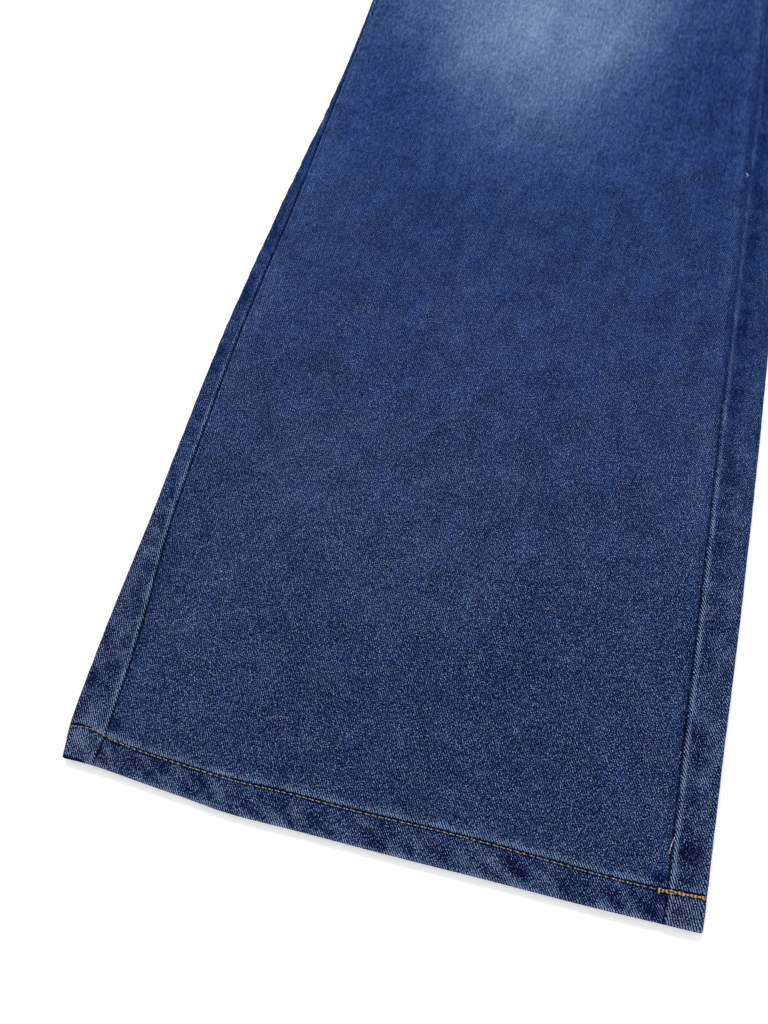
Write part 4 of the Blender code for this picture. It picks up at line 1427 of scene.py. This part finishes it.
class JUMPSUIT_OT_seam_stitches(bpy.types.Operator):
    """Tan stitches at the waist, armholes, neck, shoulders and button band, and the buttonholes' ends"""

    bl_idname = "jumpsuit.seam_stitches"
    bl_label = "Seam stitches"

    def execute(self, context):
        sewing = context.scene.jumpsuit_sewing
        names = [f"{part}_front_{word}" for part in ("bodice", "leg") for word in ("right", "left")]
        names.append("button_band")
        surface = Surface([f"{name}_cloth" for name in names])
        bm = bmesh.new()
        for route in body_routes():
            stitch_row(bm, surface, route, sewing.pitch, sewing.thickness)
        dress(mesh_object("seam_stitches", bm), bpy.data.materials["tan_thread"], "denim")
        bm = bmesh.new()
        for route in band_routes():
            stitch_row(bm, surface, route, sewing.pitch, sewing.thickness)
        for n in range(BUTTON_COUNT):
            buttonhole_ends(bm, surface, n + 1, sewing.thickness)
        dress(mesh_object("band_stitches", bm), bpy.data.materials["tan_thread"], "denim")
        return {"FINISHED"}


# Distances of the stitch rows from the edges and seams that they hold
EDGE_HEM = 0.0080
SEAM_ROW = 0.0024
BAND_ROW = 0.0024
BUTTONHOLE = 0.0230
BUTTONHOLE_WIDTH = 0.0030
ROW_MARGIN = 0.006
PAST_BAND = BAND_HALF + 0.001
LOWER_ROW_RISE = 0.0030
BUTTON_COVERS = 0.8
CLOSE_STITCHES = 0.9


def moved_aside(route, distance):
    """The same route, moved to its left by a distance."""
    moved = []
    for k, point in enumerate(route):
        along = Vector(route[min(k + 1, len(route) - 1)]) - Vector(route[max(k - 1, 0)])
        along.normalize()
        moved.append((point[0] - along.y * distance, point[1] + along.x * distance))
    return moved


def body_routes():
    """Stitch rows of both halves of the front: armhole, neck, shoulder, waist and centre seam."""
    waist = WAIST_Y + SEAM_GAP - HALF_LENGTH
    routes = []
    for side in (-1, 1):
        shares = np.linspace(UNDERARM + 0.002, 0.985, 50)
        armhole = [
            (side * float(bodice_half(share)), waist + WAIST_SIDE_LIFT + BODICE_SIDE_RISE * share)
            for share in shares
        ]
        routes.append(moved_aside(armhole, side * EDGE_HEM))
        turns = np.linspace(math.asin(PAST_BAND / NECK_HALF), math.pi / 2 - 0.16, 40)
        neck = [
            (side * NECK_HALF * math.sin(a), waist + NECK_POINT_RISE - FRONT_NECK_DEPTH * math.cos(a))
            for a in turns
        ]
        routes.append(moved_aside(neck, -side * EDGE_HEM))
        shoulder = [
            (side * x, waist + float(bodice_top(np.array(x), FRONT_NECK_DEPTH)) - 2 * SEAM_ROW)
            for x in np.linspace(NECK_HALF + ROW_MARGIN, SHOULDER_HALF - ROW_MARGIN, 20)
        ]
        routes.append(shoulder)
        over_waist = [
            (side * x, waist + WAIST_SIDE_LIFT * x / WAIST_HALF + SEAM_ROW)
            for x in np.linspace(PAST_BAND, WAIST_HALF - ROW_MARGIN, 30)
        ]
        routes.append(over_waist)
    low, high = CROTCH_Y - HALF_LENGTH + 0.004, BAND_START - HALF_LENGTH - 0.002
    routes.append([(SEAM_ROW, mix(low, high, n / 10)) for n in range(11)])
    return routes


def band_routes():
    """Rows along both edges of the button band and across its lower end."""
    low, high = BAND_START - HALF_LENGTH + BAND_ROW, BAND_END - HALF_LENGTH - BAND_ROW
    edge = BAND_HALF - BAND_ROW
    sides = [[(side * edge, mix(low, high, n / 40)) for n in range(41)] for side in (-1, 1)]
    raised = low + LOWER_ROW_RISE
    return sides + [[(-edge, low), (edge, low)], [(-edge, raised), (edge, raised)]]


def buttonhole_ends(bm, surface, number, thickness):
    """Close stitches across the ends of the buttonhole that show above and below its button."""
    low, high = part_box(f"button_{number}")
    middle = (low[1] + high[1]) / 2
    radius = (high[0] - low[0]) / 2
    hidden = radius * BUTTON_COVERS
    row = bmesh.new()
    count = int((BUTTONHOLE / 2 - hidden) / (thickness * CLOSE_STITCHES))
    for end in (-1, 1):
        for n in range(count):
            y = middle + end * mix(hidden, BUTTONHOLE / 2, n / (count - 1))
            hits = [surface.drop(x * BUTTONHOLE_WIDTH / 2, y) for x in (-1, 1)]
            if None not in hits:
                lift = Vector((0.0, 0.0, thickness * STITCH_RISE))
                add_stitch(row, hits[0][0] + lift, hits[1][0] + lift, Vector((0, 0, 1)), thickness)
    gather(bm, row)


class JUMPSUIT_OT_buttons(bpy.types.Operator):
    """Metal buttons on the band, each over its stitched buttonhole"""

    bl_idname = "jumpsuit.buttons"
    bl_label = "Buttons"

    def execute(self, context):
        for n in range(BUTTON_COUNT):
            button(n + 1)
        return {"FINISHED"}


# A turned button from the middle of its top to that of its underside, in shares of radius and height
BUTTON_STEPS = 40
BUTTON_OUTLINE = [
    (0.00, 0.86),
    (0.22, 0.84),
    (0.42, 0.74),
    (0.54, 0.56),
    (0.62, 0.52),
    (0.70, 0.62),
    (0.80, 0.92),
    (0.88, 1.00),
    (0.96, 0.90),
    (1.00, 0.64),
    (0.97, 0.40),
    (0.86, 0.20),
    (0.40, 0.02),
    (0.00, 0.00),
]


def button(number):
    """A turned button: rolled rim, hollow ring and a low dome."""
    low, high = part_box(f"button_{number}")
    radius = (high[0] - low[0]) / 2
    height = high[2] - low[2]
    bm = bmesh.new()
    verts = [bm.verts.new((r * radius, 0.0, z * height)) for r, z in BUTTON_OUTLINE]
    edges = [bm.edges.new(pair) for pair in zip(verts, verts[1:])]
    bmesh.ops.spin(
        bm,
        geom=verts + edges,
        axis=(0, 0, 1),
        cent=(0, 0, 0),
        angle=2 * math.pi,
        steps=BUTTON_STEPS,
        use_merge=True,
    )
    bmesh.ops.remove_doubles(bm, verts=bm.verts[:], dist=1e-6)
    bmesh.ops.recalc_face_normals(bm, faces=bm.faces[:])
    centre = Vector(((low[0] + high[0]) / 2, (low[1] + high[1]) / 2, low[2]))
    bmesh.ops.translate(bm, vec=centre, verts=bm.verts[:])
    obj = mesh_object(f"metal_button_{number}", bm)
    dress(obj, bpy.data.materials["worn_brass"], "button_metal", f"button_{number}")


STEPS = ["stage", "materials", "legs", "bodice", "hem_stitches", "seam_stitches", "fibres", "buttons"]
SETTINGS = {
    "jumpsuit_cloth": JumpsuitClothSettings,
    "jumpsuit_sewing": JumpsuitSewingSettings,
    "jumpsuit_stage": JumpsuitStageSettings,
}


class JUMPSUIT_PT_panel(bpy.types.Panel):
    bl_idname = "JUMPSUIT_PT_panel"
    bl_label = "Denim jumpsuit"
    bl_space_type = "VIEW_3D"
    bl_region_type = "UI"
    bl_category = "Jumpsuit"

    def draw(self, context):
        for settings in SETTINGS:
            group = getattr(context.scene, settings)
            box = self.layout.box()
            for prop in group.bl_rna.properties:
                if prop.identifier not in ("rna_type", "name"):
                    box.prop(group, prop.identifier)
        for step in STEPS:
            self.layout.operator(f"jumpsuit.{step}")


CLASSES = [
    *SETTINGS.values(),
    JUMPSUIT_OT_stage,
    JUMPSUIT_OT_materials,
    JUMPSUIT_OT_legs,
    JUMPSUIT_OT_bodice,
    JUMPSUIT_OT_hem_stitches,
    JUMPSUIT_OT_seam_stitches,
    JUMPSUIT_OT_fibres,
    JUMPSUIT_OT_buttons,
    JUMPSUIT_PT_panel,
]


def register():
    for cls in CLASSES:
        bpy.utils.register_class(cls)
    for name, group in SETTINGS.items():
        setattr(bpy.types.Scene, name, bpy.props.PointerProperty(type=group))


def unregister():
    for name in SETTINGS:
        delattr(bpy.types.Scene, name)
    for cls in reversed(CLASSES):
        bpy.utils.unregister_class(cls)


def main():
    register()
    for step in STEPS:
        getattr(bpy.ops.jumpsuit, step)()


if __name__ == "__main__":
    main()
